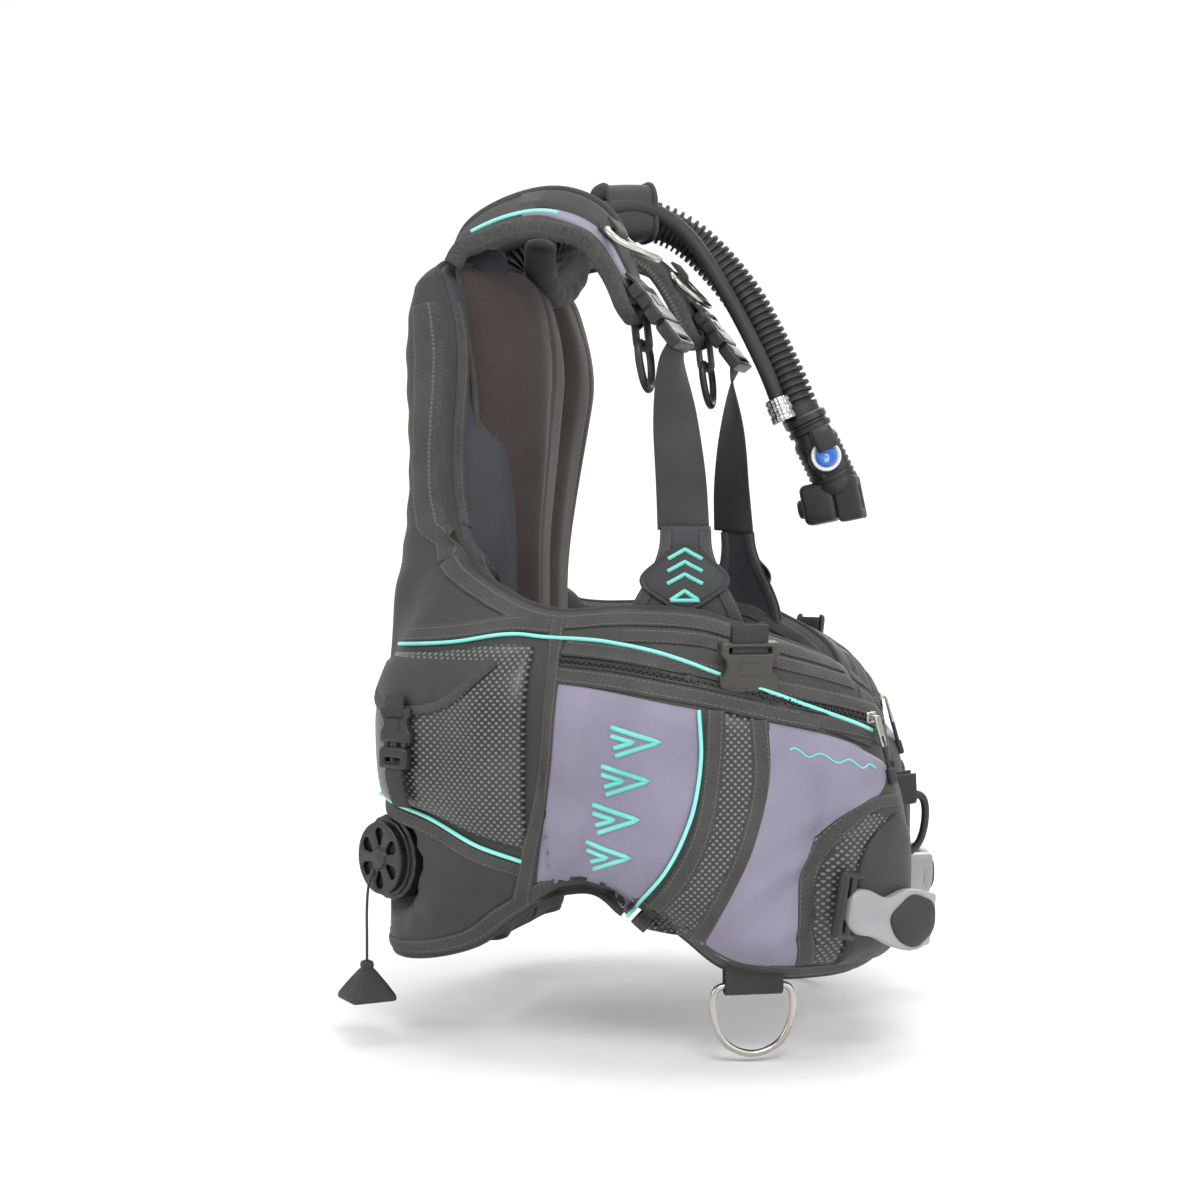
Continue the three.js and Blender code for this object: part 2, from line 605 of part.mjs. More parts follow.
function addLobeHardware(side, parts) {
  const group = sides[side];
  const name = (piece) => `${piece}_${side}`;
  const { body, cargo, trim } = parts;

  const handle = fit(handleOf(), body, cargo, slideBox(96, 71, 16));
  add(name("weight_handle"), handle, handleGrey, group);

  // zip slider and its pull
  const zipFrame = frontFrame(side, 466, -122, 5, vec(0.2, 0.1, 1));
  const slider = fit(placed(box(15, 9, 9), zipFrame), body, cargo);
  const tag = placed(box(9, 3, 51, 0, 7, -24), tippedOut(zipFrame));
  add(name("zip_slider"), slider, steel, group);
  add(name("zip_pull"), fit(tag, slider), steel, group);

  // hip ring under the hem, hung in a wide webbing loop that is sewn to the lobe
  const hipFrame = frameAt(wall(392, -312, 8), wall(396, -312, 8).sub(wall(388, -312, 8)), vec(0, 0, 1));
  const hipRing = bow(hipFrame, 27, 48, ringWire);
  const hipTab = fit(loopTab(hipFrame, 21, ringWire + 1.1, 26), cargo, hipRing);
  add(name("hip_dring"), hipRing, steel, group);

  // plastic ring at the front edge, in its own webbing loop
  const noseFrame = frameAt(wall(524, -186, 29), vec(-0.5, -0.87, 0.1), vec(0.2, 0.1, 1));
  const noseRing = bow(noseFrame, 15, 44, plasticWire);
  const noseSwing = [-12, -6, 6, 12].map((degrees) =>
    bow(
      noseFrame.clone().multiply(new THREE.Matrix4().makeRotationX((degrees * Math.PI) / 180)),
      15, 44, plasticWire + 1,
    ),
  );
  const noseTab = fit(
    loopTab(noseFrame, 9, plasticWire + 1.1, 16).add(
      placed(box(18, 22, 10, 0, 10, 14), noseFrame),
    ),
    noseRing, cargo,
  );
  add(name("front_dring"), noseRing, plasticBlack, group);

  // chest buckle half on a short strap from the lobe's top edge
  const buckleAt = frontFrame(side, 384, -84, 7, vec(0.25, 0.1, 1));
  const half = side === "right"
    ? buckleSocket(buckleAt, 40, 10, 34)
    : bucklePlug(buckleAt, 38, 9, 20, 18);
  const strapTop = wall(378, -50, wallLevel(378, -50) + 10);
  const hanger = strap(
    [
      [wall(377, -56, wallLevel(377, -56) + 2), 0],
      [strapTop, 0],
      [vec(0, 0, 16).applyMatrix4(buckleAt), 0],
    ].map(([at]) => ({ at, across: wall(390, 0, 0).sub(wall(376, 0, 0)), half: 12.5, thick: 2 })),
  );
  add(`front_buckle_${side === "right" ? "socket" : "plug"}`, fit(half, body, cargo), plasticBlack, group);
  const hung = fit(hanger, half, cargo);

  // trim pocket's buckle
  const trimAt = frontFrame(side, 163, -128, 3 + pocketDepth, vec(0, 0, 1));
  const trimLow = frontFrame(side, 163, -151.5, 5 + pocketDepth, vec(0, 0, 1));
  const trimSocket = buckleSocket(trimAt, 30, 9, 26);
  const trimPlug = bucklePlug(trimLow, 28, 8, 16, 15);
  const plug = fit(trimPlug, trim, body, trimSocket);
  add(name("trim_plug"), plug, plasticBlack, group);
  const trimRun = wasm.Manifold.hull([around(plug), around(plug).translate([0, 0, -18])]);
  const steps = [0, 1, 2, 3, 4, 5, 6].map((step) => around(plug).translate([0, 0, (-step * 16) / 6]));
  const socketFree = steps.reduce((left, other) => left.subtract(other), fit(trimSocket, body));
  const trimCut = trim.subtract(trimRun).add(socketFree);
  add(name("trim_pocket"), trimCut, shellNylon, group);
  const bodyFree = noseSwing.reduce((left, other) => left.subtract(other), body);
  const whole = fit(bodyFree.add(hipTab).add(noseTab).add(hung), noseRing, hipRing).simplify(0.15);
  add(name("lobe"), whole, shellNylon, group);
}

// ---- waist panels inside the lobes, right over left ----
function waistPanel(side) {
  const line = side === "right"
    ? [[134, -178], [112, -212], [86, -238], [58, -254], [26, -259], [0, -260], [-26, -259]]
    : [[134, -170], [112, -200], [86, -222], [58, -238], [26, -250], [0, -253], [-26, -253]];
  return strap(line.map(([x, y]) => ({
    at: vec(x, y, -182), across: vec(0, 0, 1), half: 46, thick: 4,
  })));
}

// ---- dump valve, cord and toggle ----
const cordLine = [
  [167, 41, -237], [170.5, 44.5, -250], [172, 45.5, -268], [172, 45.5, -288], [172, 45.5, -308],
];
function addValve() {
  const group = sides.right;
  const cup = onValve(spool([
    [0, -14], [valveRadius, -14], [valveRadius, 5], [valveRadius - 3, 8], [22, 8], [22, 0], [0, 0],
  ]));
  const base = cup;
  const disc = onValve(spool([[0, 0.6], [20, 0.6], [20, 3], [6, 4], [6, 8], [0, 8]]));
  let cover = onValve(spool([[0, 14], [20, 14], [27, 12], [27, 8.5], [23, 8.5], [19, 11.5], [0, 11.5]]));
  for (let i = 0; i < 6; i++) {
    const turn = ((i + 0.5) / 6) * 2 * Math.PI;
    const vent = new THREE.CylinderGeometry(3.4, 3.4, 20, 8)
      .rotateX(Math.PI / 2)
      .translate(14 * Math.cos(turn), 14 * Math.sin(turn), 14);
    cover = cover.subtract(onValve(vent));
  }
  const cord = tube(cordLine.map((p) => vec(...p)), cordRadius, 6, 14);
  const toggle = new THREE.CylinderGeometry(5.5, 21, 27, 4, 1).rotateX(Math.PI / 2)
    .translate(172, 45.5, -308 - 14);
  add("dump_valve_base", base, plasticBlack, group);
  add("dump_valve_disc", disc, rubberBlack, group);
  add("dump_valve_cap", cover, plasticBlack, group);
  add("dump_cord", fit(cord, cover), plasticBlack, group);
  add("pull_toggle", fit(solid(toggle), cord), rubberBlack, group);
}

// ---- hoses and inflator ----
const hoseLine = [
  [14, 6, 214], [16, 2, 234], [34, -22, 256], [62, -54, 272], [88, -86, 276], [106, -124, 262],
  [113, -170, 214], [115, -206, 148], [115, -225, 104],
];
const supplyLine = [
  [-18, 22, 214], [-12, 6, 236], [14, -36, 260], [42, -69, 276], [66, -101, 280], [83, -130, 262],
  [90, -166, 208], [93, -197, 147], [94, -208, 119],
];
const inflatorFrame = frameAt(vec(115, -245, 68), vec(-0.956, -0.292, 0), vec(0, 0.45, 0.893));
const onInflator = (geometry) => placed(geometry, inflatorFrame);
function addHoses() {
  const flange = solid(
    spool([[0, -12], [18, -12], [18, -5], [13, -3], [13, 14], [0, 14]]).rotateX(-Math.PI / 2)
      .translate(14, 0, 174),
  );
  const riser = solid(spool([[0, 0], [13, 0], [13, 34], [0, 34]]).translate(14, 6, 178));
  const elbow = fit(flange.add(riser), backBladder, tankPlate);
  const hose = tube(hoseLine.map((p) => vec(...p)), hoseRadius, 12, 26);
  const supply = tube(supplyLine.map((p) => vec(...p)), supplyRadius, 10, 26);
  add("inflator_elbow", elbow, plasticBlack);
  add("corrugated_hose", fit(hose, elbow), rubberBlack);
  add("supply_hose", supply, rubberBlack);
  const end = vec(-18, 22, 214);
  const outward = vec(-0.26, 0.6, -0.9).normalize();
  const fittingFrame = frameAt(end, vec(1, 0, 0), outward);
  const fitting = placed(
    spool([[0, 1.2], [9, 1.2], [9, 9], [7, 9], [7, 16], [4.8, 16], [4.8, 27], [0, 27]], 12),
    fittingFrame,
  );
  add("supply_fitting", fit(fitting, supply), steel);

  const grip = strap([0, 1].map((i) => ({
    at: vec(mix(64, 90, i), mix(-62, -98, i), mix(276, 279, i)),
    across: vec(0.8, 0.6, 0), half: 25, thick: 46,
  })), 10);
  const sleeve = fit(grip, hose, supply, shoulderPads.left);
  add("hose_sleeve", sleeve, edgeBlack);

  // inflator: local +Z up towards the hose, local +X towards the wearer
  const barrel = onInflator(spool([
    [0, -24], [17, -24], [19, -20], [19, 24], [16, 28], [16, 40], [0, 40],
  ], 16));
  const block = onInflator(box(20, 24, 36, 8, 0, 8));
  const nipple = onInflator(box(22, 18, 20, 18, 4, 22));
  const snoutFrame = frameAt(vec(115, -239, 37), vec(-1, 0, 0), vec(0, 0.2, 0.98));
  const onSnout = (geometry) => placed(geometry, snoutFrame);
  const snout = onSnout(box(28, 28, 34));
  const buttonHole = onInflator(
    spool([[0, 9.5], [9.6, 9.5], [9.6, 30], [0, 30]], 16).rotateY(Math.PI / 2).translate(0, 0, 8),
  );
  const dumpHole = onSnout(
    spool([[0, 5], [8.6, 5], [8.6, 20], [0, 20]], 16).rotateX(Math.PI / 2).translate(0, 0, -2),
  );
  const collar = placed(
    spool([[7.2, -14], [10.5, -14], [10.5, 4], [9.5, 6], [7.2, 6], [7.2, -14]], 14),
    frameAt(vec(94, -208.3, 117), vec(1, 0, 0), vec(-0.02, 0.37, 0.93)),
  );
  const inflator = fit(
    barrel.add(block).add(nipple).add(snout).subtract(buttonHole).subtract(dumpHole),
    hose, supply, collar,
  );
  add("inflator_body", inflator, plasticBlack);
  add("inflate_button", onInflator(
    spool([[0, 13.5], [9, 13.5], [9, 22], [7.5, 23.5], [0, 23.5]], 16).rotateY(Math.PI / 2)
      .translate(0, 0, 8),
  ), buttonBlue);
  add("deflate_button", onSnout(
    spool([[0, 8], [8, 8], [8, 17], [7, 18.5], [0, 18.5]], 16).rotateX(Math.PI / 2)
      .translate(0, 0, -2),
  ), plasticBlack);
  const bite = onSnout(box(24, 20, 36, 0, 24.5, -1)).subtract(onSnout(box(6, 26, 18, 0, 30, -1)));
  add("mouthpiece", fit(bite, inflator), rubberBlack);
  add("quick_collar", fit(collar, hose, supply), steel);
}

const shoulderPads = {};
for (const side of ["right", "left"]) {
  pull = drawnBack[side];
  const parts = addPockets(side);
  shoulderPads[side] = addShoulder(side);
  addLobeHardware(side, parts);
  if (side === "right") addValve();
}
add("waist_panel_right", fit(waistPanel("right"), lobes.right, mirrored(lobes.left)), edgeBlack, sides.right);
add(
  "waist_panel_left",
  fit(waistPanel("left"), lobes.left, mirrored(waistPanel("right"))),
  edgeBlack, sides.left,
);
addHoses();

export default vest;
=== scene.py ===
import bpy, bmesh, math
import numpy as np
from mathutils import Vector, Matrix


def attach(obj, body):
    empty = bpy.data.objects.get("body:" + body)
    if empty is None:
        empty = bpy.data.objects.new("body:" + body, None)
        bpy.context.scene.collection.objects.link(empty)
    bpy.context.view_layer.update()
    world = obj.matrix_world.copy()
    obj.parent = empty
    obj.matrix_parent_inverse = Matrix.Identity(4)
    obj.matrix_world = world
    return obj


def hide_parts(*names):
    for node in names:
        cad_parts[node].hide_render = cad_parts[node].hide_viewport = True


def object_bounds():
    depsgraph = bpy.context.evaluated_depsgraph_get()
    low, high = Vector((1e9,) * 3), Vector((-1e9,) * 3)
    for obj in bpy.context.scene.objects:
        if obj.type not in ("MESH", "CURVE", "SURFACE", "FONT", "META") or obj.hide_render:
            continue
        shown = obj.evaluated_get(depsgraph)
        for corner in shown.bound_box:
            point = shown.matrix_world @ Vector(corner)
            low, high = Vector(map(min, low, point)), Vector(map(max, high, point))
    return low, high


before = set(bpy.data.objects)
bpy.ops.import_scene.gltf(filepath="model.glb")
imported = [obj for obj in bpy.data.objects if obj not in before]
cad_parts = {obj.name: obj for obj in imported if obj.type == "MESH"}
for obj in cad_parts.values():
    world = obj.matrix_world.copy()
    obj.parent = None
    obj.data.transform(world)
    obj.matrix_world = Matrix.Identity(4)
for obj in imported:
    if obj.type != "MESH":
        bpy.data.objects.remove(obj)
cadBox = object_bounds()
scene = bpy.context.scene

# camera at the height of the waist, on the wearer's right
shot = dict(target=(0.0, -0.083, -0.0416), azimuth=-73.0, distance=1.7, lens=63.75)

def aimAt(obj, target):
    obj.rotation_euler = (Vector(target) - obj.location).to_track_quat("-Z", "Y").to_euler()

def makeCamera():
    data = bpy.data.cameras.new("studioCamera")
    data.lens, data.sensor_width = shot["lens"], 36.0
    camera = bpy.data.objects.new("studioCamera", data)
    scene.collection.objects.link(camera)
    turn = math.radians(shot["azimuth"])
    lift = math.asin(-shot["target"][2] / shot["distance"])
    away = Vector((math.sin(turn) * math.cos(lift), -math.cos(turn) * math.cos(lift), math.sin(lift)))
    camera.location = Vector(shot["target"]) + away * shot["distance"]
    aimAt(camera, shot["target"])
    scene.camera = camera

makeCamera()

# sizes below are in millimetres and become metres in makePiece
def unit(a):
    return np.asarray(a, float) / np.linalg.norm(a)

def mix(a, b, t):
    return a + (b - a) * t

def smooth(t):
    t = np.clip(t, 0, 1)
    return t * t * (3 - 2 * t)

def makePiece(name, points, faces, finish, body="vest", uv=None, pick=None, cloth="cloth"):
    mesh = bpy.data.meshes.new(name)
    mesh.from_pydata((np.asarray(points, float) / 1000).tolist(), [], [tuple(map(int, f)) for f in faces])
    if uv is not None:
        layer = mesh.uv_layers.new(name=cloth)
        index = np.zeros(len(mesh.loops), int)
        mesh.loops.foreach_get("vertex_index", index)
        layer.data.foreach_set("uv", (np.asarray(uv, float) / 1000)[index].ravel())
    for m in finish if isinstance(finish, (list, tuple)) else [finish]:
        mesh.materials.append(m)
    if pick is not None:
        mesh.polygons.foreach_set("material_index", np.asarray(pick, int))
    mesh.polygons.foreach_set("use_smooth", [True] * len(mesh.polygons))
    made = bmesh.new()
    made.from_mesh(mesh)
    bmesh.ops.recalc_face_normals(made, faces=made.faces)
    made.to_mesh(mesh)
    made.free()
    obj = bpy.data.objects.new(name, mesh)
    scene.collection.objects.link(obj)
    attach(obj, body)
    return obj

def ringFaces(rings, m):
    faces = []
    for i in range(rings - 1):
        for k in range(m):
            after = (k + 1) % m
            faces.append((i * m + k, i * m + after, (i + 1) * m + after, (i + 1) * m + k))
    return faces

# the border of a grid of point numbers, once round
def rimOf(index):
    return np.concatenate([index[:-1, 0], index[-1, :-1], index[:0:-1, -1], index[0, :0:-1]])

def gridFaces(columns, rows, start=0):
    i, j = np.meshgrid(np.arange(columns - 1), np.arange(rows - 1), indexing="ij")
    a = start + i * rows + j
    return np.stack([a, a + rows, a + rows + 1, a + 1], -1).reshape(-1, 4).tolist()

# a smooth curve through points, evenly stepped
def flow(points, step=2.0, count=None, closed=False):
    p = np.asarray(points, float)
    q = np.vstack([p[-1:], p, p[:2]]) if closed else np.vstack([2 * p[0] - p[1], p, 2 * p[-1] - p[-2]])
    runs = []
    for a, b, c, d in zip(q, q[1:], q[2:], q[3:]):
        da, db, dc = [max(np.linalg.norm(e) ** 0.5, 1e-6) for e in (b - a, c - b, d - c)]
        leave = ((b - a) / da - (c - a) / (da + db) + (c - b) / db) * db
        arrive = ((c - b) / db - (d - b) / (db + dc) + (d - c) / dc) * db
        t = np.linspace(0, 1, 24, endpoint=False)[:, None]
        runs.append((2 * t**3 - 3 * t**2 + 1) * b + (t**3 - 2 * t**2 + t) * leave
                    + (3 * t**2 - 2 * t**3) * c + (t**3 - t**2) * arrive)
    line = np.vstack(runs + [p[:1] if closed else p[-1:]])
    length = np.r_[0, np.cumsum(np.linalg.norm(np.diff(line, axis=0), axis=1))]
    n = count or max(3, int(round(length[-1] / step)) + 1)
    at = np.linspace(0, length[-1], n)
    even = np.stack([np.interp(at, length, line[:, k]) for k in range(p.shape[1])], -1)
    return even[:-1] if closed else even

def lengthOf(path):
    return float(np.linalg.norm(np.diff(path, axis=0), axis=1).sum())

# turning frames carried along a path without twist
def framesAlong(path, closed=False, first=None):
    ahead = np.roll(path, -1, 0) - np.roll(path, 1, 0) if closed else np.gradient(path, axis=0)
    ahead /= np.linalg.norm(ahead, axis=1)[:, None]
    side = np.cross(ahead[0], (0, 0, 1)) if first is None else np.asarray(first, float)
    if np.linalg.norm(side) < 0.2:
        side = np.array([1.0, 0, 0])
    sides = []
    for a in ahead:
        side = side - a * side.dot(a)
        side = side / np.linalg.norm(side)
        sides.append(side)
    sides = np.array(sides)
    if closed:  # spread the closing error along the loop
        end = sides[-1] - ahead[0] * sides[-1].dot(ahead[0])
        off = math.atan2(np.cross(sides[0], end).dot(ahead[0]), sides[0].dot(end))
        turn = -off * np.arange(len(path)) / len(path)
        up = np.cross(ahead, sides)
        sides = sides * np.cos(turn)[:, None] + up * np.sin(turn)[:, None]
    return ahead, sides, np.cross(ahead, sides)

def sweep(path, radius, around=12, closed=False, section=None, first=None, cap=True):
    path = np.asarray(path, float)
    side, up = framesAlong(path, closed, first)[1:]
    if section is None:
        turn = np.linspace(0, 2 * np.pi, around, endpoint=False)
        section = np.stack([np.cos(turn), np.sin(turn)], -1)
    section = np.asarray(section, float)
    size = np.broadcast_to(np.asarray(radius, float).reshape(-1, 1) if np.ndim(radius) else radius,
        (len(path), 1))
    points = (path[:, None] + (side[:, None] * section[None, :, :1] + up[:, None] * section[None, :,
        1:]) * size[:, None])
    n, m = len(path), len(section)
    faces = []
    for i in range(n if closed else n - 1):
        a, b = i * m, ((i + 1) % n) * m
        faces += [(a + k, a + (k + 1) % m, b + (k + 1) % m, b + k) for k in range(m)]
    if cap and not closed:
        faces += [tuple(range(m))[::-1], tuple(range((n - 1) * m, n * m))]
    along = np.r_[0, np.cumsum(np.linalg.norm(np.diff(path, axis=0), axis=1))]
    round_ = np.linspace(0, 1, m, endpoint=False) * 2 * np.pi * float(np.mean(size))
    uv = np.stack(np.broadcast_arrays(along[:, None], round_[None]), -1).reshape(-1, 2)
    return points.reshape(-1, 3), faces, uv

def flipX(points, side="right"):
    points = np.array(points, float)
    if side == "right":
        points[..., 0] *= -1
    return points

def frameAt(at, alongX, alongZ):
    x = unit(alongX)
    z = np.asarray(alongZ, float)
    z = unit(z - x * z.dot(x))
    made = np.eye(4)
    made[:3, 0], made[:3, 1], made[:3, 2], made[:3, 3] = x, np.cross(z, x), z, at
    return made

def through(frameOf, points):
    points = np.asarray(points, float)
    return points @ frameOf[:3, :3].T + frameOf[:3, 3]

# shader pieces
def put(tree, kind, inputs=None, **props):
    made = tree.nodes.new(kind)
    for key, value in props.items():
        setattr(made, key, value)
    for key, value in (inputs or {}).items():
        if isinstance(value, bpy.types.NodeSocket):
            tree.links.new(value, made.inputs[key])
        else:
            made.inputs[key].default_value = value
    return made

def calc(tree, operation, *values, clamp=False):
    made = put(tree, "ShaderNodeMath", dict(enumerate(values)), operation=operation, use_clamp=clamp)
    return made.outputs[0]

def blendColor(tree, factor, low, high):
    made = put(tree, "ShaderNodeMix", data_type="RGBA", clamp_factor=True)
    for index, value in ((0, factor), (6, low), (7, high)):
        if isinstance(value, bpy.types.NodeSocket):
            tree.links.new(value, made.inputs[index])
        else:
            made.inputs[index].default_value = value if index == 0 else (*value[:3], 1)
    return made.outputs[2]

def newGroup(name, ins, outs):
    tree = bpy.data.node_groups.new(name, "ShaderNodeTree")
    for label, value in ins.items():
        kind = "NodeSocketVector" if value is None else "NodeSocketFloat"
        socket = tree.interface.new_socket(label, in_out="INPUT", socket_type=kind)
        if value is not None:
            socket.default_value = value
    for label in outs:
        tree.interface.new_socket(label, in_out="OUTPUT", socket_type="NodeSocketFloat")
    return tree, tree.nodes.new("NodeGroupInput").outputs, tree.nodes.new("NodeGroupOutput").inputs

def threadsGroup():
    tree, given, out = newGroup("threads", {"Vector": None, "Across": 0.001, "Down": 0.001,
        "Slant": 0.0}, ["Height"])
    parts = put(tree, "ShaderNodeSeparateXYZ", {0: given["Vector"]}).outputs
    slanted = calc(tree, "MULTIPLY_ADD", parts[1], given["Slant"], parts[0])
    waves = []
    for along, pitch in ((slanted, given["Across"]), (parts[1], given["Down"])):
        turn = calc(tree, "MULTIPLY", calc(tree, "DIVIDE", along, pitch), 2 * math.pi)
        waves.append(calc(tree, "SINE", turn))
    both = calc(tree, "MULTIPLY", waves[0], waves[1])
    flatter = calc(tree, "MULTIPLY_ADD", both, 0.3, calc(tree, "MULTIPLY", waves[0], 0.2))
    tree.links.new(calc(tree, "ADD", flatter, 0.5), out["Height"])
    return tree

def flecksGroup():
    tree, given, out = newGroup("flecks", {"Vector": None, "Size": 0.0008}, ["Grain", "Cloud"])
    scaled = calc(tree, "DIVIDE", 1.0, given["Size"])
    fine = put(tree, "ShaderNodeTexNoise", {"Vector": given["Vector"], "Scale": scaled, "Detail": 2.0,
        "Roughness": 0.7})
    spread = put(tree, "ShaderNodeMapRange", {0: fine.outputs[0], 1: 0.34, 2: 0.68})
    broad = put(tree, "ShaderNodeTexNoise", {"Vector": given["Vector"], "Scale": 22.0, "Detail": 3.0})
    cloud = put(tree, "ShaderNodeMapRange", {0: broad.outputs[0], 1: 0.3, 2: 0.7})
    tree.links.new(spread.outputs[0], out["Grain"])
    tree.links.new(cloud.outputs[0], out["Cloud"])
    return tree

def punchedGroup():
    tree, given, out = newGroup("punched", {"Vector": None, "Pitch": 0.004, "Radius": 0.24}, ["Hole"])
    parts = put(tree, "ShaderNodeSeparateXYZ", {0: given["Vector"]}).outputs
    down = calc(tree, "DIVIDE", parts[1], calc(tree, "MULTIPLY", given["Pitch"], 0.62))
    odd = calc(tree, "MULTIPLY", calc(tree, "FLOORED_MODULO", calc(tree, "FLOOR", down), 2.0), 0.5)
    across = calc(tree, "ADD", calc(tree, "DIVIDE", parts[0], given["Pitch"]), odd)
    x = calc(tree, "SUBTRACT", calc(tree, "FRACT", across), 0.5)
    y = calc(tree, "MULTIPLY", calc(tree, "SUBTRACT", calc(tree, "FRACT", down), 0.5), 0.62)
    away = calc(tree, "SQRT", calc(tree, "ADD", calc(tree, "MULTIPLY", x, x),
        calc(tree, "MULTIPLY", y, y)))
    inside = calc(tree, "SUBTRACT", given["Radius"], away)
    soft = put(tree, "ShaderNodeMapRange", {0: inside, 1: -0.06, 2: 0.06})
    tree.links.new(soft.outputs[0], out["Hole"])
    return tree

# two rows of thread dashes: the map's X runs along the seam and Y across it
def stitchGroup():
    tree, given, out = newGroup("stitches", {"Vector": None, "Row": 0.004, "Pitch": 0.0034,
        "Width": 0.00045}, ["Thread"])
    parts = put(tree, "ShaderNodeSeparateXYZ", {0: given["Vector"]}).outputs
    off = calc(tree, "ABSOLUTE", calc(tree, "SUBTRACT", calc(tree, "ABSOLUTE", parts[1]), given["Row"]))
    across = calc(tree, "SUBTRACT", 1.0, calc(tree, "DIVIDE", off, given["Width"]), clamp=True)
    beat = calc(tree, "FRACT", calc(tree, "DIVIDE", parts[0], given["Pitch"]))
    middle = calc(tree, "ABSOLUTE", calc(tree, "SUBTRACT", beat, 0.5))
    dash = put(tree, "ShaderNodeMapRange", {0: middle, 1: 0.4, 2: 0.3}).outputs[0]
    tree.links.new(calc(tree, "MULTIPLY", across, dash), out["Thread"])
    return tree

threads, flecks, punched, stitches = threadsGroup(), flecksGroup(), punchedGroup(), stitchGroup()

def use(tree, group, **inputs):
    made = put(tree, "ShaderNodeGroup", node_tree=group)
    for key, value in inputs.items():
        if isinstance(value, bpy.types.NodeSocket):
            tree.links.new(value, made.inputs[key])
        else:
            made.inputs[key].default_value = value
    return made.outputs

def startMaterial(name, **sockets):
    made = bpy.data.materials.new(name)
    made.use_nodes = True
    tree = made.node_tree
    shader = tree.nodes["Principled BSDF"]
    for key, value in sockets.items():
        label = {"rough": "Roughness", "sheen": "Sheen Weight", "sheenRough": "Sheen Roughness",
            "metal": "Metallic",
                 "coat": "Coat Weight", "coatRough": "Coat Roughness", "gloss": "Specular IOR Level"}[key]
        shader.inputs[label].default_value = value
    coords = put(tree, "ShaderNodeTexCoord").outputs
    return made, tree, shader, coords

# woven and sewn materials; colours are linear
cloths = {
    "shellNylon": dict(dark=(0.013, 0.014, 0.012), light=(0.040, 0.041, 0.037), rough=0.58, sheen=0.04,
                       across=0.0011, down=0.0026, slant=0.0, bump=0.35, grain=0.0007, grainShare=0.45),
    "liningNylon": dict(dark=(0.021, 0.0224, 0.0266), light=(0.049, 0.0525, 0.063), rough=0.7, sheen=0.06,
                        across=0.0022, down=0.0022, slant=0.0, bump=0.4, grain=0.0009, grainShare=0.4),
    "bindingTape": dict(dark=(0.0099, 0.0099, 0.0093), light=(0.0744, 0.0744, 0.0694), rough=0.8,
        sheen=0.05,
                        across=0.0013, down=0.0013, slant=0.0, bump=0.45, grain=0.00085, grainShare=0.85,
                        stitchRow=1),
    "lilacSatin": dict(dark=(0.132, 0.119, 0.167), light=(0.291, 0.264, 0.357), rough=0.5, sheen=0.12,
                       across=0.0010, down=0.0010, slant=1.0, bump=0.25, grain=0.0006, grainShare=0.4),
    "padFleece": dict(dark=(0.0209, 0.0154, 0.0138), light=(0.0605, 0.0462, 0.0407), rough=0.92,
        sheen=0.18,
                      across=0.0017, down=0.0017, slant=0.4, bump=0.5, grain=0.0011, grainShare=0.6),
    "blackWebbing": dict(dark=(0.0075, 0.0075, 0.0075), light=(0.045, 0.045, 0.0435), rough=0.7,
        sheen=0.03,
                         across=0.0030, down=0.0018, slant=1.2, bump=0.6, grain=0.0007, grainShare=0.4),
    "softBinding": dict(dark=(0.0084, 0.0084, 0.0084), light=(0.045, 0.045, 0.0432), rough=0.75,
        sheen=0.06,
                        across=0.0012, down=0.0012, slant=0.0, bump=0.4, grain=0.0008, grainShare=0.6),
}
seamRow = dict(bindingTape=0.0036)

def clothMaterial(name, look):
    made, tree, shader, coords = startMaterial(name, rough=look["rough"], sheen=look["sheen"],
        sheenRough=0.5)
    weave = use(tree, threads, Vector=coords["UV"], Across=look["across"], Down=look["down"],
        Slant=look["slant"])
    grain = use(tree, flecks, Vector=coords["UV"], Size=look["grain"])
    share = look["grainShare"]
    woven = calc(tree, "MULTIPLY", weave["Height"], 0.55 * (1 - share))
    grains = calc(tree, "MULTIPLY_ADD", grain["Grain"], share * 0.8, woven)
    factor = calc(tree, "MULTIPLY_ADD", grain["Cloud"], 0.35, grains, clamp=True)
    color = blendColor(tree, factor, look["dark"], look["light"])
    height = calc(tree, "MULTIPLY_ADD", grain["Grain"], 0.5, weave["Height"])
    if name in seamRow:
        sewn = use(tree, stitches, Vector=coords["UV"], Row=seamRow[name])["Thread"]
        color = blendColor(tree, calc(tree, "MULTIPLY", sewn, 0.75), color, (0.16, 0.16, 0.15))
        height = calc(tree, "MULTIPLY_ADD", sewn, 1.4, height)
    tree.links.new(color, shader.inputs["Base Color"])
    bump = put(tree, "ShaderNodeBump", {"Strength": look["bump"], "Distance": 0.0006, "Height": height})
    tree.links.new(bump.outputs[0], shader.inputs["Normal"])
    return made

def punchedMaterial():
    made, tree, shader, coords = startMaterial("punchedPanel", rough=0.36, coat=0.15, coatRough=0.3)
    hole = use(tree, punched, Vector=coords["UV"], Pitch=0.0042, Radius=0.22)["Hole"]
    grain = use(tree, flecks, Vector=coords["UV"], Size=0.0006)
    skin = blendColor(tree, grain["Cloud"], (0.012, 0.012, 0.012), (0.030, 0.030, 0.030))
    color = blendColor(tree, hole, skin, (0.17, 0.17, 0.165))
    tree.links.new(color, shader.inputs["Base Color"])
    rough = calc(tree, "MULTIPLY_ADD", hole, 0.4, 0.34)
    tree.links.new(rough, shader.inputs["Roughness"])
    sunk = calc(tree, "MULTIPLY_ADD", hole, -1.0, calc(tree, "MULTIPLY", grain["Grain"], 0.15))
    bump = put(tree, "ShaderNodeBump", {"Strength": 0.5, "Distance": 0.0006, "Height": sunk})
    tree.links.new(bump.outputs[0], shader.inputs["Normal"])
    return made

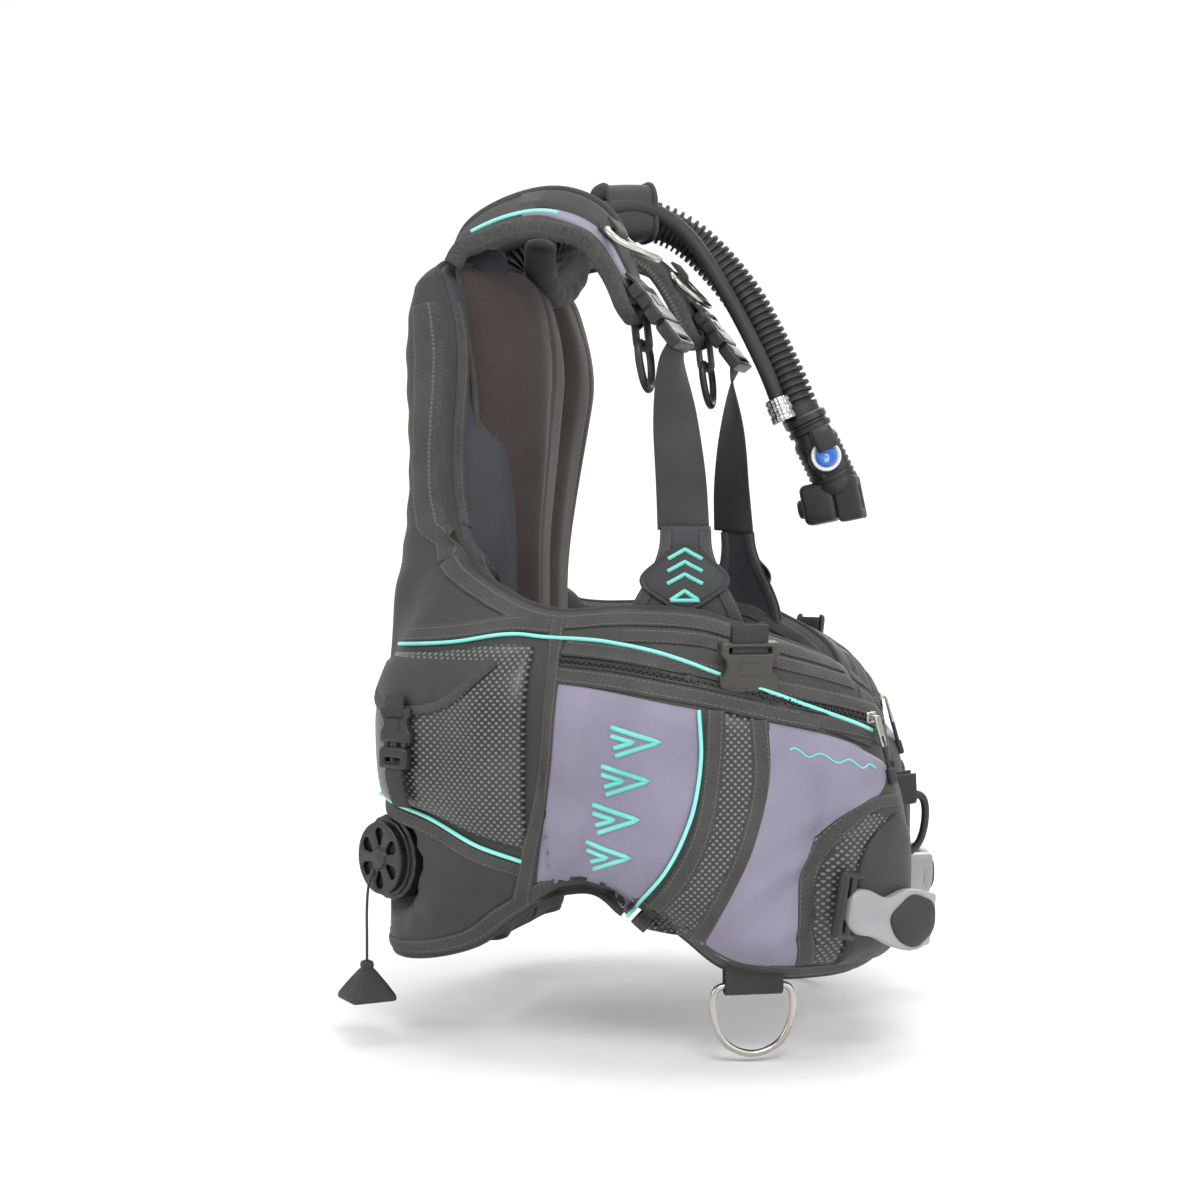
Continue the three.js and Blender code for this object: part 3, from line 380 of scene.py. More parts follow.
# moulded and metal materials
solids = {
    "blackPlastic": dict(dark=(0.008, 0.008, 0.009), light=(0.018, 0.018, 0.019), rough=0.42,
        spread=0.16, bump=0.12, size=0.0010, coat=0.15),
    "brownPlastic": dict(dark=(0.024, 0.021, 0.017), light=(0.036, 0.031, 0.026), rough=0.30,
        spread=0.14, bump=0.10, size=0.0010, coat=0.3),
    "blackRubber": dict(dark=(0.010, 0.010, 0.011), light=(0.034, 0.035, 0.037), rough=0.50, spread=0.2,
        bump=0.2, size=0.0009, coat=0.0),
    "greyPlastic": dict(dark=(0.25, 0.24, 0.255), light=(0.37, 0.36, 0.375), rough=0.34, spread=0.12,
        bump=0.08, size=0.0012, coat=0.1),
    "bluePlastic": dict(dark=(0.006, 0.085, 0.42), light=(0.012, 0.16, 0.62), rough=0.2, spread=0.08,
        bump=0.03, size=0.002, coat=0.6),
    "whitePlastic": dict(dark=(0.62, 0.63, 0.65), light=(0.78, 0.79, 0.80), rough=0.3, spread=0.1,
        bump=0.03, size=0.002, coat=0.2),
    "stainlessSteel": dict(dark=(0.36, 0.345, 0.31), light=(0.60, 0.585, 0.54), rough=0.2, spread=0.16,
        bump=0.06, size=0.0016, coat=0.0, metal=1.0),
    "chromedMetal": dict(dark=(0.55, 0.55, 0.56), light=(0.78, 0.78, 0.79), rough=0.12, spread=0.12,
        bump=0.04, size=0.0018, coat=0.0, metal=1.0),
    "platePlastic": dict(dark=(0.012, 0.012, 0.013), light=(0.035, 0.035, 0.036), rough=0.45, spread=0.2,
        bump=0.3, size=0.0007, coat=0.0),
    "mintPiping": dict(dark=(0.15, 0.62, 0.54), light=(0.31, 0.86, 0.76), rough=0.45, spread=0.1,
        bump=0.2, size=0.0010, coat=0.0, sheen=0.3),
    "mintThread": dict(dark=(0.06, 0.46, 0.40), light=(0.22, 0.76, 0.66), rough=0.42, spread=0.15,
        bump=0.5, size=0.0007, coat=0.0, sheen=0.3),
}

def solidMaterial(name, look):
    made, tree, shader, coords = startMaterial(
        name, metal=look.get("metal", 0.0), coat=look["coat"], coatRough=0.2,
            sheen=look.get("sheen", 0.0))
    grain = use(tree, flecks, Vector=coords["Object"], Size=look["size"])
    factor = calc(tree, "MULTIPLY_ADD", grain["Grain"], 0.4, calc(tree, "MULTIPLY", grain["Cloud"], 0.6),
        clamp=True)
    tree.links.new(blendColor(tree, factor, look["dark"], look["light"]), shader.inputs["Base Color"])
    rough = calc(tree, "MULTIPLY_ADD", grain["Cloud"], look["spread"], look["rough"])
    tree.links.new(rough, shader.inputs["Roughness"])
    bump = put(tree, "ShaderNodeBump", {"Strength": look["bump"], "Distance": 0.0003,
        "Height": grain["Grain"]})
    tree.links.new(bump.outputs[0], shader.inputs["Normal"])
    return made

finishes = {name: clothMaterial(name, look) for name, look in cloths.items()}
finishes.update({name: solidMaterial(name, look) for name, look in solids.items()})
finishes["punchedPanel"] = punchedMaterial()
print("materials", len(finishes))

# floor, backdrop and light
def makeStage():
    low = min(cadBox[0][2], cadBox[1][2]) if len(cadBox) == 2 else -0.37
    mesh = bpy.data.meshes.new("studioFloor")
    made = bmesh.new()
    size, back, rise, steps = 3.2, 2.4, 2.6, 14
    rows = [(-size, 0.0), (back - 0.9, 0.0)]
    rows += [(back - 0.9 + 0.9 * math.sin(t), 0.9 - 0.9 * math.cos(t))
        for t in np.linspace(0.1, math.pi / 2, steps)]
    rows.append((back, rise))
    ring = [[made.verts.new((x, y, z + low - 0.004)) for x in (-size * 1.6, size * 1.6)] for y, z in rows]
    for a, b in zip(ring, ring[1:]):
        made.faces.new((a[0], a[1], b[1], b[0]))
    made.to_mesh(mesh)
    made.free()
    mesh.polygons.foreach_set("use_smooth", [True] * len(mesh.polygons))
    paper, tree, shader, coords = startMaterial("studioPaper", rough=0.9)
    cloud = use(tree, flecks, Vector=coords["Object"], Size=0.02)["Cloud"]
    tree.links.new(blendColor(tree, cloud, (0.86, 0.86, 0.86), (0.9, 0.9, 0.9)),
        shader.inputs["Base Color"])
    mesh.materials.append(paper)
    floor = bpy.data.objects.new("studioFloor", mesh)
    scene.collection.objects.link(floor)
    floor.rotation_euler = (0, 0, math.radians(-shot["azimuth"] + 0) * -1)

def areaLight(name, place, size, power, target=(0, -0.12, 0)):
    data = bpy.data.lights.new(name, "AREA")
    data.shape, data.size, data.energy = "DISK", size, power
    lamp = bpy.data.objects.new(name, data)
    scene.collection.objects.link(lamp)
    lamp.location = place
    aimAt(lamp, target)

lamps = {
    "keySoft": ((-2.0, -1.1, 1.7), 1.2, 34),
    "frontFill": ((-0.9, -2.4, 0.7), 1.6, 12),
    "rearFill": ((-1.6, 1.7, 0.9), 1.3, 12),
    "topSoft": ((0.2, 0.0, 2.3), 1.8, 24),
    "farRim": ((1.9, -0.4, 1.1), 1.3, 16),
}

def makeLight():
    world = bpy.data.worlds.new("studioWorld")
    world.use_nodes = True
    world.node_tree.nodes["Background"].inputs["Color"].default_value = (1, 1, 1, 1)
    world.node_tree.nodes["Background"].inputs["Strength"].default_value = 0.72
    scene.world = world
    for name, (place, size, power) in lamps.items():
        areaLight(name, place, size, power)
    scene.view_settings.view_transform = "Standard"

makeStage()
makeLight()

# the vest's own surface: girth runs round the waist, negative on the wearer's right
def smoothTable(pairs):
    xs, ys = np.array(pairs, float).T
    n = len(xs)
    ahead, behind = np.minimum(np.arange(n) + 1, n - 1), np.maximum(np.arange(n) - 1, 0)
    slope = (ys[ahead] - ys[behind]) / (xs[ahead] - xs[behind])
    def value(x):
        x = np.asarray(x, float)
        i = np.clip(np.searchsorted(xs, x, side="right") - 1, 0, n - 2)
        span = xs[i + 1] - xs[i]
        t = np.clip((x - xs[i]) / span, 0, 1)
        return ((2 * t**3 - 3 * t**2 + 1) * ys[i] + (t**3 - 2 * t**2 + t) * span * slope[i]
                + (3 * t**2 - 2 * t**3) * ys[i + 1] + (t**3 - t**2) * span * slope[i + 1])
    return value

vest = dict(seam=128.0, front=532.0, hem=-302.0, lobe=36.0, wing=34.0, channel=72.0, rim=64.0,
    pocket=13.0, leftPull=30.0)

def planTable():
    p = np.array([[0, -5], [60, 0], [112, 6], [150, -10], [167, -62], [169, -130], [161, -200],
        [132, -262],
                  [82, -296], [20, -306]], float)
    q = np.vstack([2 * p[0] - p[1], p, 2 * p[-1] - p[-2]])
    t = np.linspace(0, 1, 300, endpoint=False)[:, None]
    line = np.vstack([
        (2 * t**3 - 3 * t**2 + 1) * b + (t**3 - 2 * t**2 + t) * (c - a) / 2 + (3 * t**2 - 2 * t**3) * c
        + (t**3 - t**2) * (d - b) / 2 for a, b, c, d in zip(q, q[1:], q[2:], q[3:])] + [p[-1:]])
    length = np.r_[0, np.cumsum(np.linalg.norm(np.diff(line, axis=0), axis=1))]
    ahead = np.gradient(line, axis=0)
    return length, line, ahead / np.linalg.norm(ahead, axis=1)[:, None]

planLength, planLine, planAhead = planTable()

def wall(girth, z, out):
    girth, z, out = np.broadcast_arrays(*[np.asarray(a, float) for a in (girth, z, out)])
    s = np.minimum(np.abs(girth), planLength[-1] * 0.9999)
    px, py = [np.interp(s, planLength, planLine[:, k]) for k in (0, 1)]
    tx, ty = [np.interp(s, planLength, planAhead[:, k]) for k in (0, 1)]
    x, y = px - ty * out, py + tx * out
    y = y + np.where(girth > 0, vest["leftPull"], 0.0) * smooth((-60 - y) / 220)
    return np.stack([np.where(girth < 0, -x, x), y, z], -1)

wallShift = smoothTable([[0, -17], [40, -19], [72, -24], [95, 10], [125, 6], [180, 0], [540, 0]])
wallSwell = smoothTable([[0, 9], [40, 9], [72, 9.5], [95, 34], [125, 36], [420, 36], [532, 27]])
bottomTable = smoothTable([
    [0, -302], [140, -302], [186, -292], [220, -268], [256, -246], [284, -244], [312, -256], [342, -276],
    [370, -298], [400, -306], [434, -309], [500, -310], [532, -300]])
chestEdge = [[250, -46], [300, -43], [356, -46], [394, -58], [442, -72], [476, -84], [505, -104],
    [522, -128], [532, -165]]
topTables = {
    -1: smoothTable([[128, 6], [160, -12], [190, -27], [220, -40], *chestEdge]),
    1: smoothTable([[128, -32], [150, -43], [180, -47], [215, -47], *chestEdge])}
armTables = {
    -1: smoothTable([[6, 128], [25, 122], [56, 118], [94, 119], [120, 121], [150, 122], [180, 118],
        [210, 108], [235, 96]]),
    1: smoothTable([[-32, 128], [-8, 112], [20, 100], [56, 96], [94, 104], [120, 114], [150, 120],
        [180, 118], [210, 108], [235, 96]])}
backTop = smoothTable([[0, 190], [0.3, 194], [0.5, 212], [0.65, 226], [0.82, 226], [1, 208]])
seamTop = {-1: 6.0, 1: -32.0}

def bottomEdge(girth):
    return bottomTable(np.abs(girth))

def topEdge(girth):
    return np.where(np.asarray(girth) < 0, topTables[-1](np.abs(girth)), topTables[1](np.abs(girth)))

def skirtAt(girth, z):
    g = np.abs(girth)
    return smooth((vest["hem"] + 62 - z) / 50) * smooth((g - 70) / 20) * smooth((200 - g) / 50)

def levelAt(girth, z):
    g = np.abs(girth)
    lean = -24 * smooth((z + 130) / 120) * smooth((g - 95) / 45)
    return wallShift(g) + lean + 0.8 * vest["lobe"] * skirtAt(girth, z)

# the sewn outline of the shell, as one closed line of girth and height
def outlineOf():
    front = vest["front"]
    g = np.linspace(-front, front, 420)
    rows = [np.stack([g, bottomEdge(g)], -1)]
    for side in (1, -1):
        g = np.linspace(front, vest["seam"], 160) * side
        lobeTop = np.stack([g, topEdge(g)], -1)
        z = np.linspace(seamTop[side], 208, 90)
        arm = np.stack([side * armTables[side](z), z], -1)
        half = np.linspace(1, 0, 40) * side
        top = np.stack([half * armTables[side](backTop(np.abs(half))), backTop(np.abs(half))], -1)
        run = np.vstack([lobeTop, arm, top])
        rows.append(run if side == 1 else run[::-1])
    return np.vstack(rows)

outline = outlineOf()

def rimDistance(girth, z):
    p = np.stack(np.broadcast_arrays(np.asarray(girth, float), np.asarray(z, float)), -1).reshape(-1, 2)
    a, b = outline, np.roll(outline, -1, 0)
    d = b - a
    size = np.maximum((d * d).sum(-1), 1e-9)
    best = np.full(len(p), 1e9)
    for k in range(0, len(p), 4000):
        w = p[k:k + 4000, None] - a[None]
        t = np.clip((w * d).sum(-1) / size, 0, 1)
        best[k:k + 4000] = np.sqrt(((w - t[..., None] * d) ** 2).sum(-1).min(1))
    return best.reshape(np.broadcast(np.asarray(girth), np.asarray(z)).shape)

def halfAt(girth, z):
    away = np.clip(rimDistance(girth, z) / vest["rim"], 0, 1)
    round_ = np.sqrt(np.clip(1 - (1 - away) ** 2, 0, 1))
    return np.maximum(1.4, wallSwell(np.abs(girth)) * mix(round_, 0.12 * np.minimum(1, round_ * 2),
        skirtAt(girth, z)))

pocketTop = smoothTable([[134, -78], [182, -74], [220, -69], [250, -72], [288, -74], [330, -82],
    [366, -96], [400, -110],
                         [434, -125], [470, -144], [500, -162]])
trimBottom = smoothTable([[134, -184], [170, -190], [206, -204], [240, -214]])

def bagRise(g, z, start, end, low, high, depth):
    u, v = (g - start) / (end - start), (z - low) / np.maximum(high - low, 1)
    inside = (u >= 0) & (u <= 1) & (v >= 0) & (v <= 1)
    fullness = np.sqrt(np.clip(25 * u * (1 - u) * v * (1 - v), 0, 1))
    return np.where(inside, 2.2 + (depth - 2.2) * fullness, 0)

# long soft creases: from, to, height and half width
creases = [
    (268, -246, 292, -186, -2.2, 5), (282, -250, 300, -200, 1.8, 5), (296, -256, 310, -214, -2.0, 5),
        (252, -240, 262, -206, 1.4, 6),
    (306, -262, 318, -226, 1.6, 5), (366, -262, 444, -176, 2.6, 6), (376, -272, 450, -190, -2.4, 5),
    (388, -240, 452, -168, -2.0, 5),
    (372, -228, 440, -160, 1.8, 7), (392, -286, 420, -238, 2.2, 6), (402, -292, 416, -262, -1.8, 4),
    (330, -64, 372, -72, -1.6, 5), (392, -78, 438, -98, 1.8, 6), (402, -92, 452, -110, -1.8, 5),
    (280, -56, 330, -60, 1.3, 6),
    (150, -286, 160, -246, -2.2, 6), (168, -290, 182, -250, 2.2, 6), (188, -286, 206, -240, -2.0, 6),
    (206, -270, 224, -236, 1.6, 6),
    (140, -252, 200, -262, 1.6, 8), (132, 110, 124, 30, 1.6, 8), (150, 70, 172, 10, -1.4, 7),
    (110, -20, 128, -64, 1.4, 9),
    (176, -90, 190, -180, -2.0, 7), (206, -84, 214, -200, 1.2, 8), (146, -96, 150, -176, -1.0, 6),
]

def creaseAt(girth, z):
    g, z = np.broadcast_arrays(np.abs(np.asarray(girth, float)), np.asarray(z, float))
    total = np.zeros(g.shape)
    for g0, z0, g1, z1, height, width in creases:
        d = np.array([g1 - g0, z1 - z0], float)
        size = d.dot(d)
        t = ((g - g0) * d[0] + (z - z0) * d[1]) / size
        off = ((g - g0) * d[1] - (z - z0) * d[0]) / math.sqrt(size)
        off = off + 3.0 * np.sin(t * 5 + g0)
        fade = smooth((t + 0.12) / 0.3) * smooth((1.12 - t) / 0.4)
        total = total + height * fade * np.exp(-((off / width) ** 2))
    return total

def puckerAt(girth, z):
    away = rimDistance(girth, z)
    girth, z = np.asarray(girth), np.asarray(z)
    ripple = np.sin(girth * 0.31) * 0.5 + np.sin(girth * 0.173 + z * 0.21) * 0.6
    broad = np.sin(np.asarray(girth) * 0.043 + 1.0) * np.sin(np.asarray(z) * 0.037 + 0.5)
    return ripple * np.exp(-((away - 20) / 13) ** 2) + 0.9 * broad * smooth(away / 40)

def pocketRise(girth, z):
    g = np.abs(girth)
    low = bottomEdge(girth)
    cargo = bagRise(g, z, 254, 424, low + 8, pocketTop(g), vest["pocket"])
    weight = bagRise(g, z, 418, 498, low + 10, pocketTop(g) - 8, 19.0)
    trim = bagRise(g, z, 134, 240, trimBottom(g), pocketTop(g), vest["pocket"])
    return np.maximum(np.maximum(cargo, weight), trim)

def shellOut(girth, z):
    return levelAt(girth, z) + halfAt(girth, z) + puckerAt(girth, z) + creaseAt(girth, z)

# a point laid on the outside of the vest, over its pockets
def lay(girth, z, rise, pockets=True):
    out = shellOut(girth, z) + rise
    return wall(girth, z, out + pocketRise(girth, z) if pockets else out)

def layInside(girth, z, rise):
    return wall(girth, z, levelAt(girth, z) - halfAt(girth, z) - rise)

valvePlace = frameAt((-159, 29, -230), (0.52, 0.855, 0), (-0.855, 0.52, 0))

def seatValve(points):
    local = (points - valvePlace[:3, 3]) @ valvePlace[:3, :3]
    away = np.hypot(local[:, 0], local[:, 1])
    floor_ = -15.0 + 60 * smooth((away - 33) / 22)
    near = (away < 54) & (local[:, 2] > -40)
    local[:, 2] = np.where(near, np.minimum(local[:, 2], floor_), local[:, 2])
    return local @ valvePlace[:3, :3].T + valvePlace[:3, 3]

def makeShell():
    rows = (1 - np.cos(np.linspace(0, np.pi, 54))) / 2
    lobeAcross = vest["front"] - (vest["front"] - vest["seam"]) * np.linspace(0, 1, 112) ** 1.12
    backAcross = np.linspace(-1, 1, 92)
    columns = [(-g, bottomEdge(-g), float(topEdge(-g))) for g in lobeAcross[:-1]]
    backStart = len(columns)
    girths, heights = [], []
    for g, low, high in columns:
        heights.append(mix(low, high, rows))
        girths.append(np.full(len(rows), g))
    for u in backAcross:
        side = -1 if u < 0 else 1
        heights.append(mix(vest["hem"], mix(seamTop[-1], seamTop[1], (u + 1) / 2), rows))
        girths.append(u * armTables[side](heights[-1]))
    for g in lobeAcross[::-1][1:]:
        heights.append(mix(float(bottomEdge(g)), float(topEdge(g)), rows))
        girths.append(np.full(len(rows), g))
    n, m = len(girths), len(rows)
    faces = gridFaces(n, m)
    girths, heights = list(np.concatenate(girths)), list(np.concatenate(heights))
    upper = (1 - np.cos(np.linspace(0, np.pi, 56)[1:])) / 2
    upper = mix(upper, np.linspace(0, 1, 56)[1:], 0.4)
    before = [(backStart + k) * m + m - 1 for k in range(len(backAcross))]
    for w in upper:
        row = []
        for u in backAcross:
            side = -1 if u < 0 else 1
            z = mix(mix(seamTop[-1], seamTop[1], (u + 1) / 2), float(backTop(abs(u))), w)
            row.append(len(girths))
            girths.append(u * float(armTables[side](z)))
            heights.append(z)
        faces += [(before[k], before[k + 1], row[k + 1], row[k]) for k in range(len(row) - 1)]
        before = row
    g, z = np.array(girths), np.array(heights)
    outer = seatValve(wall(g, z, shellOut(g, z)))
    inner = wall(g, z, levelAt(g, z) - halfAt(g, z) + 0.6 * puckerAt(g, z))
    count = len(g)
    edges = {}
    for f in faces:
        for a, b in zip(f, f[1:] + f[:1]) if isinstance(f, tuple) else zip(f, f[1:] + f[:1]):
            key = (min(a, b), max(a, b))
            edges[key] = edges.get(key, 0) + 1
    rim = [(a, b, b + count, a + count) for (a, b), times in edges.items() if times == 1]
    every = faces + [[i + count for i in f] for f in faces] + rim
    pick = [0] * len(faces) + [1] * len(faces) + [0] * len(rim)
    obj = makePiece("bladderShell", np.vstack([outer, inner]), every,
        [finishes["shellNylon"], finishes["liningNylon"]],
                    uv=np.tile(np.stack([g, z], -1), (2, 1)), pick=pick)
    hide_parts("back_bladder", "lobe_right", "lobe_left")
    return obj

makeShell()
print("shell")

# sewn pieces laid on the shell
def sheetOn(name, girth, z, rise, finish, apron=4.0, pockets=True, body="vest",
    inside=False, grain=0.0):
    n, m = girth.shape
    place = layInside if inside else (lambda a, b, c: lay(a, b, c, pockets))
    top = place(girth, z, rise).reshape(-1, 3)
    faces = gridFaces(n, m)
    index = np.arange(n * m).reshape(n, m)
    loop = rimOf(index)
    low = place(girth.ravel()[loop], z.ravel()[loop], -apron)
    start = n * m
    k = len(loop)
    faces += [(loop[i], loop[(i + 1) % k], start + (i + 1) % k, start + i) for i in range(k)]
    turn = math.cos(grain), math.sin(grain)
    flat = np.stack([girth * turn[0] + z * turn[1], z * turn[0] - girth * turn[1]], -1).reshape(-1, 2)
    return makePiece(name, np.vstack([top, low]), faces, finish, body,
        uv=np.vstack([flat, flat[loop]]))

def coons(bottom, right, top, left, n, m):
    b, t = flow(bottom, count=n), flow(top, count=n)
    l, r = flow(left, count=m), flow(right, count=m)
    u, v = np.linspace(0, 1, n)[:, None, None], np.linspace(0, 1, m)[None, :, None]
    corners = ((1 - u) * (1 - v) * b[0] + u * (1 - v) * b[-1] + (1 - u) * v * t[0] + u * v * t[-1])
    return (1 - v) * b[:, None] + v * t[:, None] + (1 - u) * l[None] + u * r[None] - corners

def panel(name, side, bottom, right, top, left, rise, finish, crown=0.0,
    step=4.0, grain=0.0, body="vest"):
    n = max(6, int(max(lengthOf(np.array(bottom, float)), lengthOf(np.array(top, float))) / step))
    m = max(6, int(max(lengthOf(np.array(left, float)), lengthOf(np.array(right, float))) / step))
    grid = coons(bottom, right, top, left, n, m)
    i, j = np.meshgrid(np.arange(n), np.arange(m), indexing="ij")
    edge = np.minimum(np.minimum(i, n - 1 - i) / n * (n * step),
        np.minimum(j, m - 1 - j) / m * (m * step))
    lift = rise + crown * smooth(edge / 16) - 0.5 * np.exp(-edge / 2.5)
    return sheetOn(name, side * grid[..., 0], grid[..., 1], lift, finish, grain=grain,
        body=body)

def domainNormal(line, closed=False):
    ahead = np.roll(line, -1, 0) - np.roll(line, 1, 0) if closed else np.gradient(line, axis=0)
    ahead /= np.maximum(np.linalg.norm(ahead, axis=1), 1e-9)[:, None]
    return np.stack([-ahead[:, 1], ahead[:, 0]], -1)

# a flat tape sewn along a line of girth and height
def tape(name, side, line, width, rise=1.1, finish="bindingTape", inside=False,
    step=4.0, even=True, body="vest", pockets=True):
    line = flow(line, step) if even else np.asarray(line, float)
    normal = domainNormal(line)
    across = np.array([-0.5, -0.47, -0.25, 0, 0.25, 0.47, 0.5])
    lift = np.array([-2.2, 0.75 * rise, rise, rise * 1.08, rise, 0.75 * rise, -2.2])
    grid = line[:, None] + normal[:, None] * (across * width)[None, :, None]
    g, z = side * grid[..., 0], grid[..., 1]
    lifted = np.broadcast_to(lift, g.shape)
    points = layInside(g, z, lifted) if inside else lay(g, z, lifted, pockets)
    along = np.r_[0, np.cumsum(np.linalg.norm(np.diff(line, axis=0), axis=1))]
    uv = np.stack(np.broadcast_arrays(along[:, None], (across * width)[None]), -1).reshape(-1, 2)
    n, m = g.shape
    faces = gridFaces(n, m) + [tuple(range(m))[::-1], tuple(range((n - 1) * m, n * m))]
    return makePiece(name, points.reshape(-1, 3), faces, finishes[finish], body, uv=uv)

def piping(name, side, line, radius=1.5, rise=1.6, finish="mintPiping"):
    line = flow(line, 3.0)
    points, faces, uv = sweep(lay(side * line[:, 0], line[:, 1], rise), radius, around=10)
    return makePiece(name, points, faces, finishes[finish], uv=uv)

# the hip pocket and the small rear pocket, as crowned bags over the shell
def bagPiece(name, side, start, end, low, high, columns, rows, finish, node):
    g = np.linspace(start, end, columns)
    v = (1 - np.cos(np.linspace(0, np.pi, rows))) / 2
    lowZ, highZ = low(g), high(g)
    z = mix(lowZ[:, None], highZ[:, None], v[None])
    grid = np.broadcast_to(g[:, None], z.shape)
    obj = sheetOn(name, side * grid, z, 0.25, finish)
    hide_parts(node)
    return obj

def weightTop(g):
    return np.where(g < 424, pocketTop(g) + 1, np.where(g > 430, pocketTop(g) - 6, pocketTop(g) - 4))

seams = {
    "upperPiping": [(134, -72), (182, -68), (220, -62), (250, -64), (288, -66), (330, -74), (366, -88),
        (400, -102), (434, -118), (466, -131)],
    "rearPiping": [(136, -184), (170, -194), (206, -212), (236, -223)],
    "midPiping": [(353, -112), (354, -148), (348, -188), (334, -226), (307, -261)],
    "upright": [(251, -50), (257, -84), (257, -120), (251, -178), (236, -236), (229, -256)],
    "zipLine": [(262, -79), (304, -83), (354, -93), (406, -107), (484, -128)],
    "firstBand": [(363, -112), (361, -154), (355, -196), (338, -238), (314, -268)],
    "secondBand": [(388, -119), (389, -162), (381, -206), (364, -250), (352, -279)],
    "mouth": [(419, -295), (414, -262), (416, -226), (428, -196), (448, -181), (474, -180)],
    "trimFlap": [(135, -84), (139, -104), (152, -116), (170, -117), (190, -110), (206, -96), (218, -80)],
}

